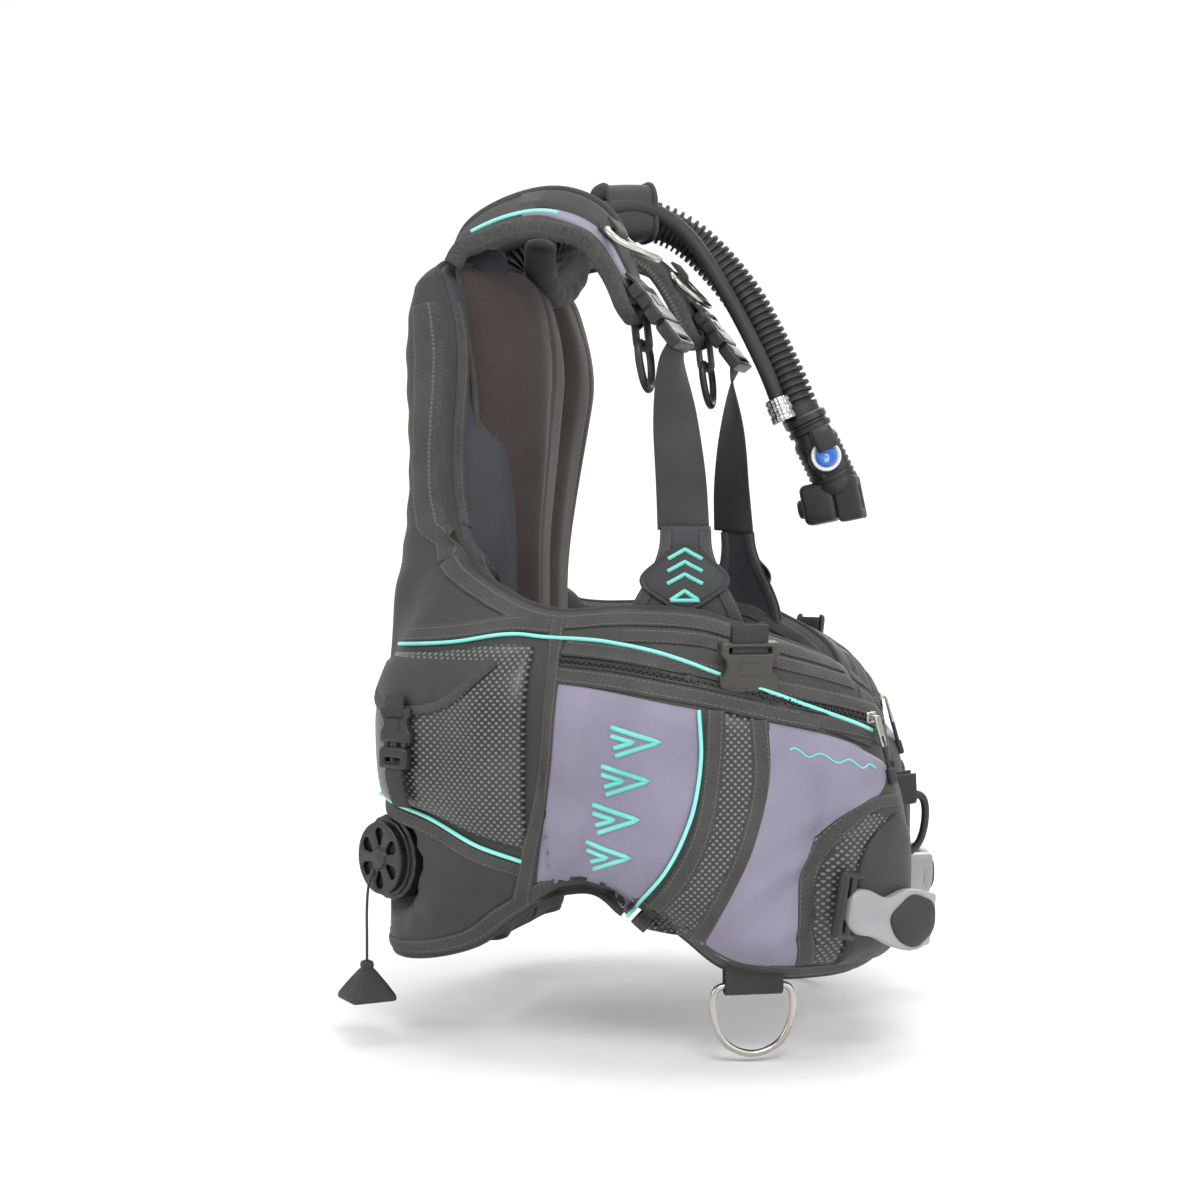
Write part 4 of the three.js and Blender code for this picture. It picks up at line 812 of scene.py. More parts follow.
def sewSide(side):
    tag = "Right" if side < 0 else "Left"
    node = "right" if side < 0 else "left"
    shell = finishes["shellNylon"]
    bagPiece(f"cargoPocket{tag}", side, 254, 498, lambda g: bottomEdge(g) + 9, weightTop, 70, 40, shell,
        f"cargo_pocket_{node}")
    bagPiece(f"trimPocket{tag}", side, 134, 240, trimBottom, pocketTop, 36, 30, finishes["punchedPanel"],
        f"trim_pocket_{node}")
    s = seams
    # lilac panels and the punched strip between them
    panel(f"lilacPanelOne{tag}", side, [(243, -240), (258, -240), (284, -240), (304, -258)],
        s["midPiping"][::-1],
          [(262, -94), (304, -100), (352, -110)], [(243, -240), (252, -196), (259, -150), (262, -94)],
          1.0, finishes["lilacSatin"], crown=1.6, step=3.0)
    panel(f"punchedStrip{tag}", side, [(315, -268), (352, -282)], s["secondBand"][::-1],
        [(362, -112), (388, -119)],
          s["firstBand"][::-1], 0.7, finishes["punchedPanel"], crown=0.8)
    panel(f"lilacPanelTwo{tag}", side, [(353, -280), (384, -296), (417, -296)],
          [(417, -296), (412, -262), (414, -226), (428, -192), (452, -176), (474, -152)],
          [(390, -119), (424, -126), (474, -142)], s["secondBand"][::-1], 1.0, finishes["lilacSatin"],
          crown=1.8, step=3.0)
    panel(f"mouthPunched{tag}", side, [(421, -294), (438, -296)],
        [(438, -296), (436, -240), (448, -206), (470, -196)],
          [(446, -184), (470, -184)], [(421, -294), (417, -262), (419, -226), (430, -198), (446, -184)],
          0.7, finishes["punchedPanel"], crown=0.3)
    panel(f"pouchFlap{tag}", side, [(438, -297), (486, -298)], [(486, -298), (490, -250), (486, -206)],
          [(456, -196), (470, -190), (486, -206)], [(438, -297), (436, -244), (446, -208), (456, -196)],
          2.4, shell, crown=2.6, step=3.5)
    # tapes and pipings
    tape(f"upperBand{tag}", side, [(132, -65), (182, -60), (220, -54), (250, -56)], 13, 1.3)
    tape(f"underPiping{tag}", side, [(p[0], p[1] - 8) for p in s["upperPiping"][4:]], 10, 1.2)
    tape(f"zipTapeUpper{tag}", side, [(p[0], p[1] + 8.5) for p in s["zipLine"]], 11, 1.6)
    tape(f"zipTapeLower{tag}", side, [(p[0], p[1] - 10) for p in s["zipLine"]], 13, 1.6)
    tape(f"zipTape{tag}", side, s["zipLine"], 12, 0.7, "softBinding")
    for k, off in enumerate((3.4, -3.4)):
        piping(f"zipCord{tag}{k}", side, [(p[0], p[1] + off) for p in s["zipLine"]], 1.0, 1.5,
            "blackPlastic")
    tape(f"uprightBinding{tag}", side, s["upright"], 11, 1.9)
    tape(f"rearBand{tag}", side, [(p[0], p[1] - 8) for p in s["rearPiping"]], 11, 1.2)
    tape(f"firstBinding{tag}", side, s["firstBand"], 12, 1.7)
    tape(f"secondBinding{tag}", side, s["secondBand"], 12, 1.7)
    tape(f"mouthBinding{tag}", side, s["mouth"], 10, 2.0)
    tape(f"hemGusset{tag}", side, [(232, -252), (258, -243), (284, -242), (306, -256)], 13, 0.6,
        "softBinding")
    piping(f"upperPiping{tag}", side, s["upperPiping"])
    piping(f"rearPiping{tag}", side, s["rearPiping"])
    piping(f"midPiping{tag}", side, s["midPiping"], 1.4, 2.0)
    # rear pocket's flap with its own binding
    panel(f"trimFlap{tag}", side, s["trimFlap"][1:6], [(206, -96), (218, -80)],
        [(135, -80), (176, -76), (218, -72)],
          [(139, -104), (135, -80)], 2.6, shell, crown=1.6, step=3.5)
    tape(f"trimFlapBinding{tag}", side, s["trimFlap"], 7, 3.4)
    # bindings round the shell's rim
    g = np.linspace(134, 531, 110)
    rimTop = np.stack([g, np.where(g < 500, topEdge(side * g), topEdge(side * g))], -1)
    tape(f"topBinding{tag}", side, [(p[0], p[1] - 7) for p in rimTop[(g > 138) & (g < 470)][::4]], 11,
        1.2)
    tape(f"topBindingLow{tag}", side, [(p[0], p[1] - 19) for p in rimTop[(g > 300) & (g < 470)][::4]],
        10, 1.0)
    front = [(470, -89), (492, -104), (508, -124), (519, -150), (524, -186), (524, -240), (520, -294)]
    tape(f"frontBinding{tag}", side, front, 12, 1.2)
    tape(f"frontBindingInner{tag}", side, [(466, -104), (484, -118), (497, -138), (504, -166),
        (506, -196), (505, -250)], 11, 1.2)
    hem = [(g_, float(bottomEdge(g_)) + 7) for g_ in np.linspace(4, 522, 60)]
    tape(f"hemBinding{tag}", side, hem, 11, 1.2)
    tape(f"hemInside{tag}", side, hem, 11, 1.2, inside=True)
    arm = [(armTables[side](z) - 7, z) for z in np.linspace(seamTop[side] + 10, 186, 30)]
    lobeArm = [(g_, float(topEdge(side * g_)) - 8) for g_ in np.linspace(140, 200, 5)]
    tape(f"armBinding{tag}", side, arm[::-1] + lobeArm[:1], 11, 1.2)
    tape(f"armInside{tag}", side, arm[::-1], 11, 1.2, inside=True)
    tape(f"topInside{tag}", side, [(p[0], p[1] - 7) for p in rimTop[(g > 140) & (g < 500)][::4]], 11,
        1.2, inside=True)
    # teeth of the zip
    line = flow(s["zipLine"], 2.2)
    at = lay(side * line[:, 0], line[:, 1], 1.9)
    ahead, away, up = framesAlong(at)
    outward = lay(side * line[:, 0], line[:, 1], 3.0) - at
    outward /= np.linalg.norm(outward, axis=1)[:, None]
    across = np.cross(ahead, outward)
    cube = np.array([(x, y, z) for x in (-0.5, 0.5) for y in (-1, 1) for z in (-0.5, 0.5)])
    quads = [(0, 1, 3, 2), (4, 6, 7, 5), (0, 4, 5, 1), (2, 3, 7, 6), (0, 2, 6, 4), (1, 5, 7, 3)]
    points, faces = [], []
    for k in range(len(at)):
        lean = 0.7 if k % 2 else -0.7
        body = at[k] + cube[:, :1] * 1.3 * ahead[k] + (cube[:, 1:2] * 1.5 + lean) * across[k] + cube[:,
            2:] * 1.1 * outward[k]
        faces += [tuple(len(points) * 8 + i for i in q) for q in quads]
        points.append(body)
    makePiece(f"zipTeeth{tag}", np.vstack(points), faces, finishes["blackPlastic"])

for side in (-1, 1):
    sewSide(side)

# rolled edge all round the shell
def rimRoll():
    line = flow(outline[::3], 4.0, closed=True)
    inward = domainNormal(line, closed=True)
    turn = np.linspace(0, 2 * np.pi, 12, endpoint=False)
    depth, thick = 4.6 * np.cos(turn) + 2.6, 3.3 * np.sin(turn)
    grid = line[:, None] + inward[:, None] * depth[None, :, None]
    g, z = grid[..., 0], grid[..., 1]
    base = levelAt(*line.T)[:, None]
    points = wall(g, z, base + thick[None])
    n, m = g.shape
    faces = []
    for i in range(n):
        a, b = i * m, ((i + 1) % n) * m
        faces += [(a + k, a + (k + 1) % m, b + (k + 1) % m, b + k) for k in range(m)]
    along = np.arange(n) * 4.0
    uv = np.stack(np.broadcast_arrays(along[:, None], (turn * 4.2)[None]), -1).reshape(-1, 2)
    makePiece("rimBinding", points.reshape(-1, 3), faces, finishes["softBinding"], uv=uv)

rimRoll()
print("sewn pieces")

# tools for hardware
def joined(*parts):
    points, faces, uvs = [], [], []
    start = 0
    for part in parts:
        p = np.asarray(part[0], float)
        points.append(p)
        faces += [tuple(i + start for i in f) for f in part[1]]
        uvs.append(part[2] if len(part) > 2 and part[2] is not None else p[:, :2])
        start += len(p)
    return np.vstack(points), faces, np.vstack(uvs)

def placedAt(frameOf, part):
    return (through(frameOf, part[0]), *part[1:])

def mirrorX(part):
    return (flipX(part[0]), *part[1:])

def lathe(profile, segments=40, wave=None):
    turn = np.linspace(0, 2 * np.pi, segments, endpoint=False)
    profile = np.asarray(profile, float)
    r = profile[:, :1] * np.ones(segments)
    if wave is not None:
        r = r * wave(turn)[None]
    points = np.stack([r * np.cos(turn), r * np.sin(turn), profile[:, 1:] * np.ones(segments)], -1)
    faces = []
    n = len(profile)
    for i in range(n - 1):
        a, b = i * segments, (i + 1) * segments
        faces += [(a + k, a + (k + 1) % segments, b + (k + 1) % segments, b + k) for k in range(segments)]
    faces += [tuple(range(segments))[::-1], tuple(range((n - 1) * segments, n * segments))]
    return points.reshape(-1, 3), faces, None

# a flat moulding with rounded edges: an outline and its holes in local X and Z, thickness along local Y
def moulding(outline_, holes, thick, bevel, roundness=2):
    data = bpy.data.curves.new("moulding", "CURVE")
    data.dimensions, data.fill_mode = "2D", "BOTH"
    data.bevel_depth, data.bevel_resolution, data.offset = bevel, roundness, -bevel
    data.extrude = thick / 2 - bevel
    for line in [outline_, *holes]:
        spline = data.splines.new("POLY")
        spline.points.add(len(line) - 1)
        for point, (x, z) in zip(spline.points, line):
            point.co = (x, z, 0, 1)
        spline.use_cyclic_u = True
    obj = bpy.data.objects.new("moulding", data)
    scene.collection.objects.link(obj)
    mesh = obj.evaluated_get(bpy.context.evaluated_depsgraph_get()).to_mesh()
    made = bmesh.new()
    made.from_mesh(mesh)
    bmesh.ops.remove_doubles(made, verts=made.verts, dist=0.01)
    points = np.array([(v.co.x, -v.co.z, v.co.y) for v in made.verts])
    faces = [tuple(v.index for v in f.verts) for f in made.faces]
    made.free()
    bpy.data.objects.remove(obj)
    return points, faces, None

def softLine(points, radius=2.0, steps=4):
    points = [np.array(p, float) for p in points]
    line = []
    for i, p in enumerate(points):
        a, b = points[i - 1], points[(i + 1) % len(points)]
        ra, rb = min(radius, np.linalg.norm(a - p) * 0.45), min(radius, np.linalg.norm(b - p) * 0.45)
        start, end = p + unit(a - p) * ra, p + unit(b - p) * rb
        for t in np.linspace(0, 1, steps):
            line.append((1 - t) ** 2 * start + 2 * t * (1 - t) * p + t**2 * end)
    return [tuple(p) for p in line]

def rectangle(w, h, x=0.0, z=0.0):
    return [(x - w / 2, z - h / 2), (x + w / 2, z - h / 2), (x + w / 2, z + h / 2),
        (x - w / 2, z + h / 2)]

def roundBox(wide, deep, high, bevel, x=0.0, y=0.0, z=0.0):
    points, faces, _ = moulding(softLine(rectangle(wide, high), bevel * 1.4), [], deep, bevel)
    return points + np.array([x, y, z]), faces, None

def steelRing(w, drop, wire, bend=0.0, around=14):
    points = [[-w + 3, 0], [0, 0], [w - 3, 0], [w + 1, -4], [w + 2, -drop * 0.4],
        [w * 0.72, -drop * 0.84], [0, -drop],
              [-w * 0.72, -drop * 0.84], [-w - 2, -drop * 0.4], [-w - 1, -4]]
    line = flow([(x, -bend * (z / drop) ** 2, z) for x, z in points], 1.6, closed=True)
    return sweep(line, wire, around, closed=True)

# webbing folded round a bar, with its two layers running up local Z
def foldedLoop(half, bore, high, thick=2.2):
    mid = bore + thick / 2 + 0.25
    turn = np.linspace(np.pi, 2 * np.pi, 13)
    path = [(0, -mid, z) for z in np.linspace(high, 2, 6)] + [(0, mid * math.cos(t), mid * math.sin(t))
        for t in turn]
    path += [(0, mid, z) for z in np.linspace(2, high, 6)]
    edge = [(-1, -0.6), (-0.97, -1), (-0.5, -1), (0, -1), (0.5, -1), (0.97, -1), (1, -0.6)]
    section = [(c * half, s * thick / 2) for c, s in edge + [(-c, -s) for c, s in edge]]
    points, faces, uv = sweep(path, 1.0, closed=False, section=section, first=(1, 0, 0))
    uv[:, 1] = np.tile([c for c, s in section], len(path))
    return points, faces, uv

# side-release buckle halves: local X across the webbing, the plug points along +Z
def socketShape(width, thick, long):
    w, h = width / 2, long / 2
    outline_ = softLine([(-w, -h), (-w * 0.8, -h), (w * 0.8, -h), (w, -h), (w, -h * 0.35),
        (w * 0.78, -h * 0.1), (w * 0.78, h * 0.3),
                         (w, h * 0.5), (w, h), (-w, h), (-w, h * 0.5), (-w * 0.78, h * 0.3),
                         (-w * 0.78, -h * 0.1), (-w, -h * 0.35)], 2.4)
    slot = softLine(rectangle(width - 12, 4, 0, h - 5.5), 1.2, 3)
    shell = moulding(outline_, [slot], thick, 2.0)
    lip = roundBox(width * 0.86, thick * 1.06, 4.2, 1.4, 0, 0, -h + 3.4)
    rib = roundBox(width * 0.36, thick + 1.2, 9, 0.5, 0, 0, 0.5)
    return joined(shell, lip, rib)

def plugShape(width, thick, long, tongue):
    w, h = width / 2, long / 2
    outline_ = softLine([(-w, -h), (w, -h), (w, h * 0.6), (w * 0.86, h), (-w * 0.86, h), (-w, h * 0.6)],
        2.4)
    body = moulding(outline_, [softLine(rectangle(width - 12, 4, 0, 6 - h), 1.2, 3)], thick, 2.0)
    prongs = []
    for s in (-1, 1):
        arm = softLine([(s * w * 0.46, h - 2), (s * w * 0.78, h - 2), (s * w * 0.82, h + tongue * 0.5),
            (s * w * 0.80, h + tongue * 0.9),
                        (s * w * 0.62, h + tongue), (s * w * 0.5, h + tongue * 0.5)][::s], 1.2, 3)
        prongs.append(moulding(arm, [], thick - 5.5, 0.8))
    guide = roundBox(w * 0.3, thick - 6, tongue * 0.8, 0.7, 0, 0, h + tongue * 0.36)
    return joined(body, *prongs, guide)

def pieceOf(name, part, finish, body="vest", node=None, sided=None):
    if sided is not None and sided < 0:
        part = mirrorX(part)
    obj = makePiece(name, part[0], part[1], finishes[finish], body,
        uv=part[2] if len(part) > 2 else None)
    if node:
        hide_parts(*([node] if isinstance(node, str) else node))
    return obj

def hardEdges(obj, angle=32):
    mesh = obj.data
    made = bmesh.new()
    made.from_mesh(mesh)
    for e in made.edges:
        if len(e.link_faces) == 2 and e.calc_face_angle(0) > math.radians(angle):
            e.smooth = False
    made.to_mesh(mesh)
    made.free()
    return obj

# hoses, and the dump cord with its toggle
hoseLine = [(14, 6, 214), (16, 2, 234), (34, -22, 256), (62, -54, 272), (88, -86, 276), (106, -124, 262),
    (113, -170, 214),
            (115, -206, 148), (115, -225, 104)]
supplyLine = [(-18, 22, 214), (-12, 6, 236), (14, -36, 260), (42, -69, 276), (66, -101, 280),
    (83, -130, 262), (90, -166, 208),
              (93, -197, 147), (94, -208, 119)]
hoses = dict(rib=17.0, groove=13.2, pitch=6.0, supply=6.4)

def makeHoses():
    step = hoses["pitch"] / 12
    fine = flow(hoseLine, step)
    k = np.arange(len(fine))
    phase = k % 12
    keep = np.isin(phase, (0, 1, 5, 6)) | (k == len(fine) - 1)
    radius = np.where((phase >= 1) & (phase <= 5), hoses["rib"], hoses["groove"])
    radius[:18] = hoses["rib"] - 0.6
    radius[-26:] = hoses["rib"] - 0.4
    points, faces, uv = sweep(fine[keep], radius[keep], 30)
    hose = makePiece("corrugatedHose", points, faces, finishes["blackRubber"], uv=uv)
    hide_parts("corrugated_hose")
    hardEdges(hose, 40)
    thin = flow(supplyLine, 3.0)[::-1]
    points, faces, uv = sweep(thin, hoses["supply"], 20)
    supply = makePiece("supplyHose", points, faces, finishes["blackRubber"], uv=uv)
    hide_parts("supply_hose")
    out = unit((-0.26, 0.6, -0.9))
    place = frameAt(supplyLine[0], (1, 0, 0), out)
    crimp = lathe([[6.9, -20], [8.0, -19], [8.0, -14], [7.4, -13], [8.0, -12], [8.0, -7], [7.4, -6],
        [8.2, -5], [8.2, 0.8]], 28)
    nut = lathe([[7.4, 1.0], [9.2, 1.4], [9.2, 8.6], [8.4, 9.4], [7.0, 9.6], [7.0, 15.6], [4.9, 16.4],
        [4.9, 26.4], [4.0, 27]], 36,
                lambda t: 1 + 0.03 * np.cos(6 * t))
    fitting = pieceOf("supplyFitting", placedAt(place, joined(crimp, nut)), "chromedMetal",
        node="supply_fitting")
    hardEdges(fitting)

def makeCord():
    line = [(-167, 41, -237), (-170.5, 44.5, -250), (-172, 45.5, -268), (-172, 45.5, -288),
        (-172, 45.5, -308)]
    path = flow(line, 2.5)
    points, faces, uv = sweep(path, 1.0, 10)
    cord = makePiece("dumpCord", points, faces, finishes["blackRubber"], "pull_toggle",
        uv=uv)
    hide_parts("dump_cord")
    def square(half, corner):
        return np.array(softLine([(-half, -half), (half, -half), (half, half), (-half, half)], corner, 6))
    rows = []
    for half, z, corner in ((2.0, -306, 1.8), (4.2, -307, 3), (5.0, -309, 3.4), (4.6, -312, 3),
        (6.4, -314, 2.6), (12.6, -322.5, 3.2),
                            (17.6, -330, 3.6), (18.4, -331.5, 3.6), (18.6, -334, 3.4),
                            (17.6, -335.2, 3.0), (6, -335.2, 2.0)):
        ringOf = square(half * 0.94, corner)
        turn = math.radians(45)
        ringOf = ringOf @ np.array([[math.cos(turn), math.sin(turn)], [-math.sin(turn), math.cos(turn)]])
        rows.append(np.column_stack([ringOf[:, 0] - 172, ringOf[:, 1] + 45.5, np.full(len(ringOf), z)]))
    m = len(rows[0])
    faces = ringFaces(len(rows), m)
    faces += [tuple(range(m))[::-1], tuple(range((len(rows) - 1) * m, len(rows) * m))]
    toggle = makePiece("pullToggle", np.vstack(rows), faces, finishes["blackRubber"],
        "pull_toggle", uv=None)
    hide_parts("pull_toggle")
    hardEdges(toggle, 30)

makeHoses()
makeCord()
print("hoses and cord")

# back pad, neck roll, waist panels
def padGrid(front, n=64, m=84):
    u, v = np.meshgrid(np.linspace(0, 1, n), np.linspace(0, 1, m), indexing="ij")
    away = np.abs(u * 2 - 1)
    x = (u * 2 - 1) * 96
    narrow = 1.04 - 0.42 * smooth((0.82 - v) / 0.5)
    rim = np.sqrt(np.clip(1 - away**6, 0, 1)) * np.sqrt(np.clip(1 - np.abs(v * 2 - 1) ** 12, 0, 1))
    z = mix(-168, 216, v)
    channel = 0.72 * np.exp(-((x / 11) ** 2)) * smooth((z + 190) / 60) * (1 - 0.5 * smooth((z - 150) / 60))
    seam = 0.10 * np.exp(-((np.abs(x) - 52 + 0.06 * z) / 2.4) ** 2)
    soft = 0.03 * np.sin(z * 0.045 + x * 0.02) + 0.02 * np.sin(x * 0.11 + z * 0.03)
    back = -33 + 22 * smooth((away - 0.55) / 0.45) ** 1.2
    wrap = 12 * smooth((z - 120) / 90)
    deep = (3 + mix(9, 27, smooth((z + 20) / 190)) * rim * (1 - channel - seam + soft)) if front else 0.0
    return np.stack([x * narrow, back + wrap - deep, z], -1)

def makeBackPad():
    front, back = padGrid(True), padGrid(False)
    n, m = front.shape[:2]
    index = np.arange(n * m).reshape(n, m)
    loop = rimOf(index)
    k = len(loop)
    faces = gridFaces(n, m) + gridFaces(n, m, n * m)
    faces += [(loop[i], loop[(i + 1) % k], loop[(i + 1) % k] + n * m, loop[i] + n * m) for i in range(k)]
    points = np.vstack([front.reshape(-1, 3), back.reshape(-1, 3)])
    uv = np.column_stack([points[:, 0], points[:, 2]])
    pad = makePiece("backPad", points, faces, finishes["padFleece"], uv=uv)
    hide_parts("back_pad")
    edge = front.reshape(-1, 3)[loop] * 0.5 + back.reshape(-1, 3)[loop] * 0.5
    rope = flow(edge[::4], 4.0, closed=True)
    piece = sweep(rope, 2.6, 10, closed=True)
    pieceOf("backPadPiping", piece, "bindingTape")
    roll = [(-50, -50, 240), (-40, -46, 221), (-20, -43, 208), (0, -42, 204), (20, -43, 208),
        (40, -46, 221), (50, -50, 240)]
    line = flow(roll, 3.0)
    s = np.linspace(0, 1, len(line))
    ends = np.sqrt(np.clip(1 - np.abs(s * 2 - 1) ** 24, 0.05, 1))
    size = 12.6 * (1 + 0.035 * np.sin(s * 46) + 0.03 * np.sin(s * 17 + 1)) * ends
    rollPiece = pieceOf("neckRoll", sweep(line, size, 22), "softBinding", node="neck_roll")

makeBackPad()

def bandPiece(name, line, wide, thick, finish, node=None, sided=1, across=(0, 0, 1),
    body="vest", step=5.0, crown=0.35):
    path = flow(line, step)
    section = []
    for c, h in ((-1, 0), (-0.985, 0.62), (-0.94, 0.95), (-0.5, 1.0), (0, 1 + crown * 0.2), (0.5, 1.0),
        (0.94, 0.95), (0.985, 0.62), (1, 0),
                 (0.985, -0.62), (0.94, -0.95), (0.5, -1), (0, -1), (-0.5, -1), (-0.94, -0.95),
                 (-0.985, -0.62)):
        section.append((c * wide / 2, h * thick / 2))
    points, faces, uv = sweep(path, 1.0, section=section, first=across)
    uv[:, 1] = np.tile([c for c, h in section], len(path))
    return pieceOf(name, (points, faces, uv), finish, body, node, sided)

def makeWaist():
    lines = {-1: [(134, -178), (112, -212), (86, -238), (58, -254), (26, -259), (0, -260), (-26, -259)],
             1: [(134, -170), (112, -200), (86, -222), (58, -238), (26, -250), (0, -253), (-26, -253)]}
    for side, tag in ((-1, "Right"), (1, "Left")):
        line = [(x, y, -182) for x, y in lines[side]]
        panelPiece = bandPiece(f"waistPanel{tag}", line, 91, 3.8, "softBinding",
            f"waist_panel_{tag.lower()}", side)
        for k, z in enumerate((-140, -224)):
            bandPiece(f"waistBinding{tag}{k}", [(x, y, z) for x, y in lines[side]], 9, 5.0,
                "bindingTape", None, side)

makeWaist()

# shoulder pads and their straps
shoulder = {
    -1: dict(stations=[(88, 8, 220), (87, -6, 238), (86, -40, 253), (86, -73, 255), (90, -106, 238),
        (93, -126, 206), (95, -140, 168)],
             roll=0.6, ringHeight=236, ringBend=14),
    1: dict(stations=[(88, 8, 220), (87, -6, 234), (86, -40, 244), (86, -73, 245), (90, -106, 230),
        (93, -126, 203), (95, -140, 168)],
            roll=0.08, ringHeight=226, ringBend=5),
}
padHalf = [26, 28, 29, 29, 28, 26, 23]

def padCourse(side, count=76):
    look = shoulder[side]
    path = flow(look["stations"], count=count)
    k = np.linspace(0, 6, count)
    half = np.interp(k, range(7), padHalf)
    thick = np.interp(k, range(7), [13, 13, 13, 13, 13, 12, 8])
    turn = look["roll"] * smooth((6 - k) / 3)
    ahead = np.gradient(path, axis=0)
    ahead /= np.linalg.norm(ahead, axis=1)[:, None]
    across = np.stack([np.cos(turn), np.zeros(count), -np.sin(turn)], -1)
    across -= ahead * (across * ahead).sum(-1)[:, None]
    across /= np.linalg.norm(across, axis=1)[:, None]
    return path, across, np.cross(ahead, across), half, thick

def onPad(side, t, c, rise):
    path, across, up, half, thick = padCourse(side)
    at = np.clip(t, 0, 1) * (len(path) - 1)
    def pick(table):
        table = table.reshape(len(path), -1)
        return np.stack([np.interp(at.ravel(), np.arange(len(path)), table[:, k])
            for k in range(table.shape[1])], -1)
    h, th = pick(half)[:, 0], pick(thick)[:, 0]
    c_ = c.ravel()
    top = th / 2 * np.sqrt(np.clip(1 - np.abs(c_) ** 5, 0, 1))
    return pick(path) + pick(across) * (c_ * h)[:, None] + pick(up) * (top + rise.ravel())[:, None]

def padPatch(name, side, t0, t1, c0, c1, rise, finish, n=40, m=8,
    turnCloth=False, crown=0.0):
    t = np.linspace(t0, t1, n)
    u = np.linspace(0, 1, m)
    low = np.interp(np.linspace(0, 1, n), np.linspace(0, 1, len(c0)), c0)
    high = np.interp(np.linspace(0, 1, n), np.linspace(0, 1, len(c1)), c1)
    c = low[:, None] + (high - low)[:, None] * u[None]
    tt = np.broadcast_to(t[:, None], c.shape)
    lift = np.full(c.shape, rise) + crown * np.sin(np.pi * u)[None]
    lift[:, 0] = lift[:, -1] = -1.5
    lift[0], lift[-1] = -1.5, -1.5
    points = onPad(side, tt, c, lift)
    length = lengthOf(padCourse(side)[0])
    uv = np.stack([tt * length, c * 28], -1).reshape(-1, 2)
    uv = uv[:, ::-1] if turnCloth else uv
    return pieceOf(name, (points, gridFaces(n, m), uv), finish, sided=side)

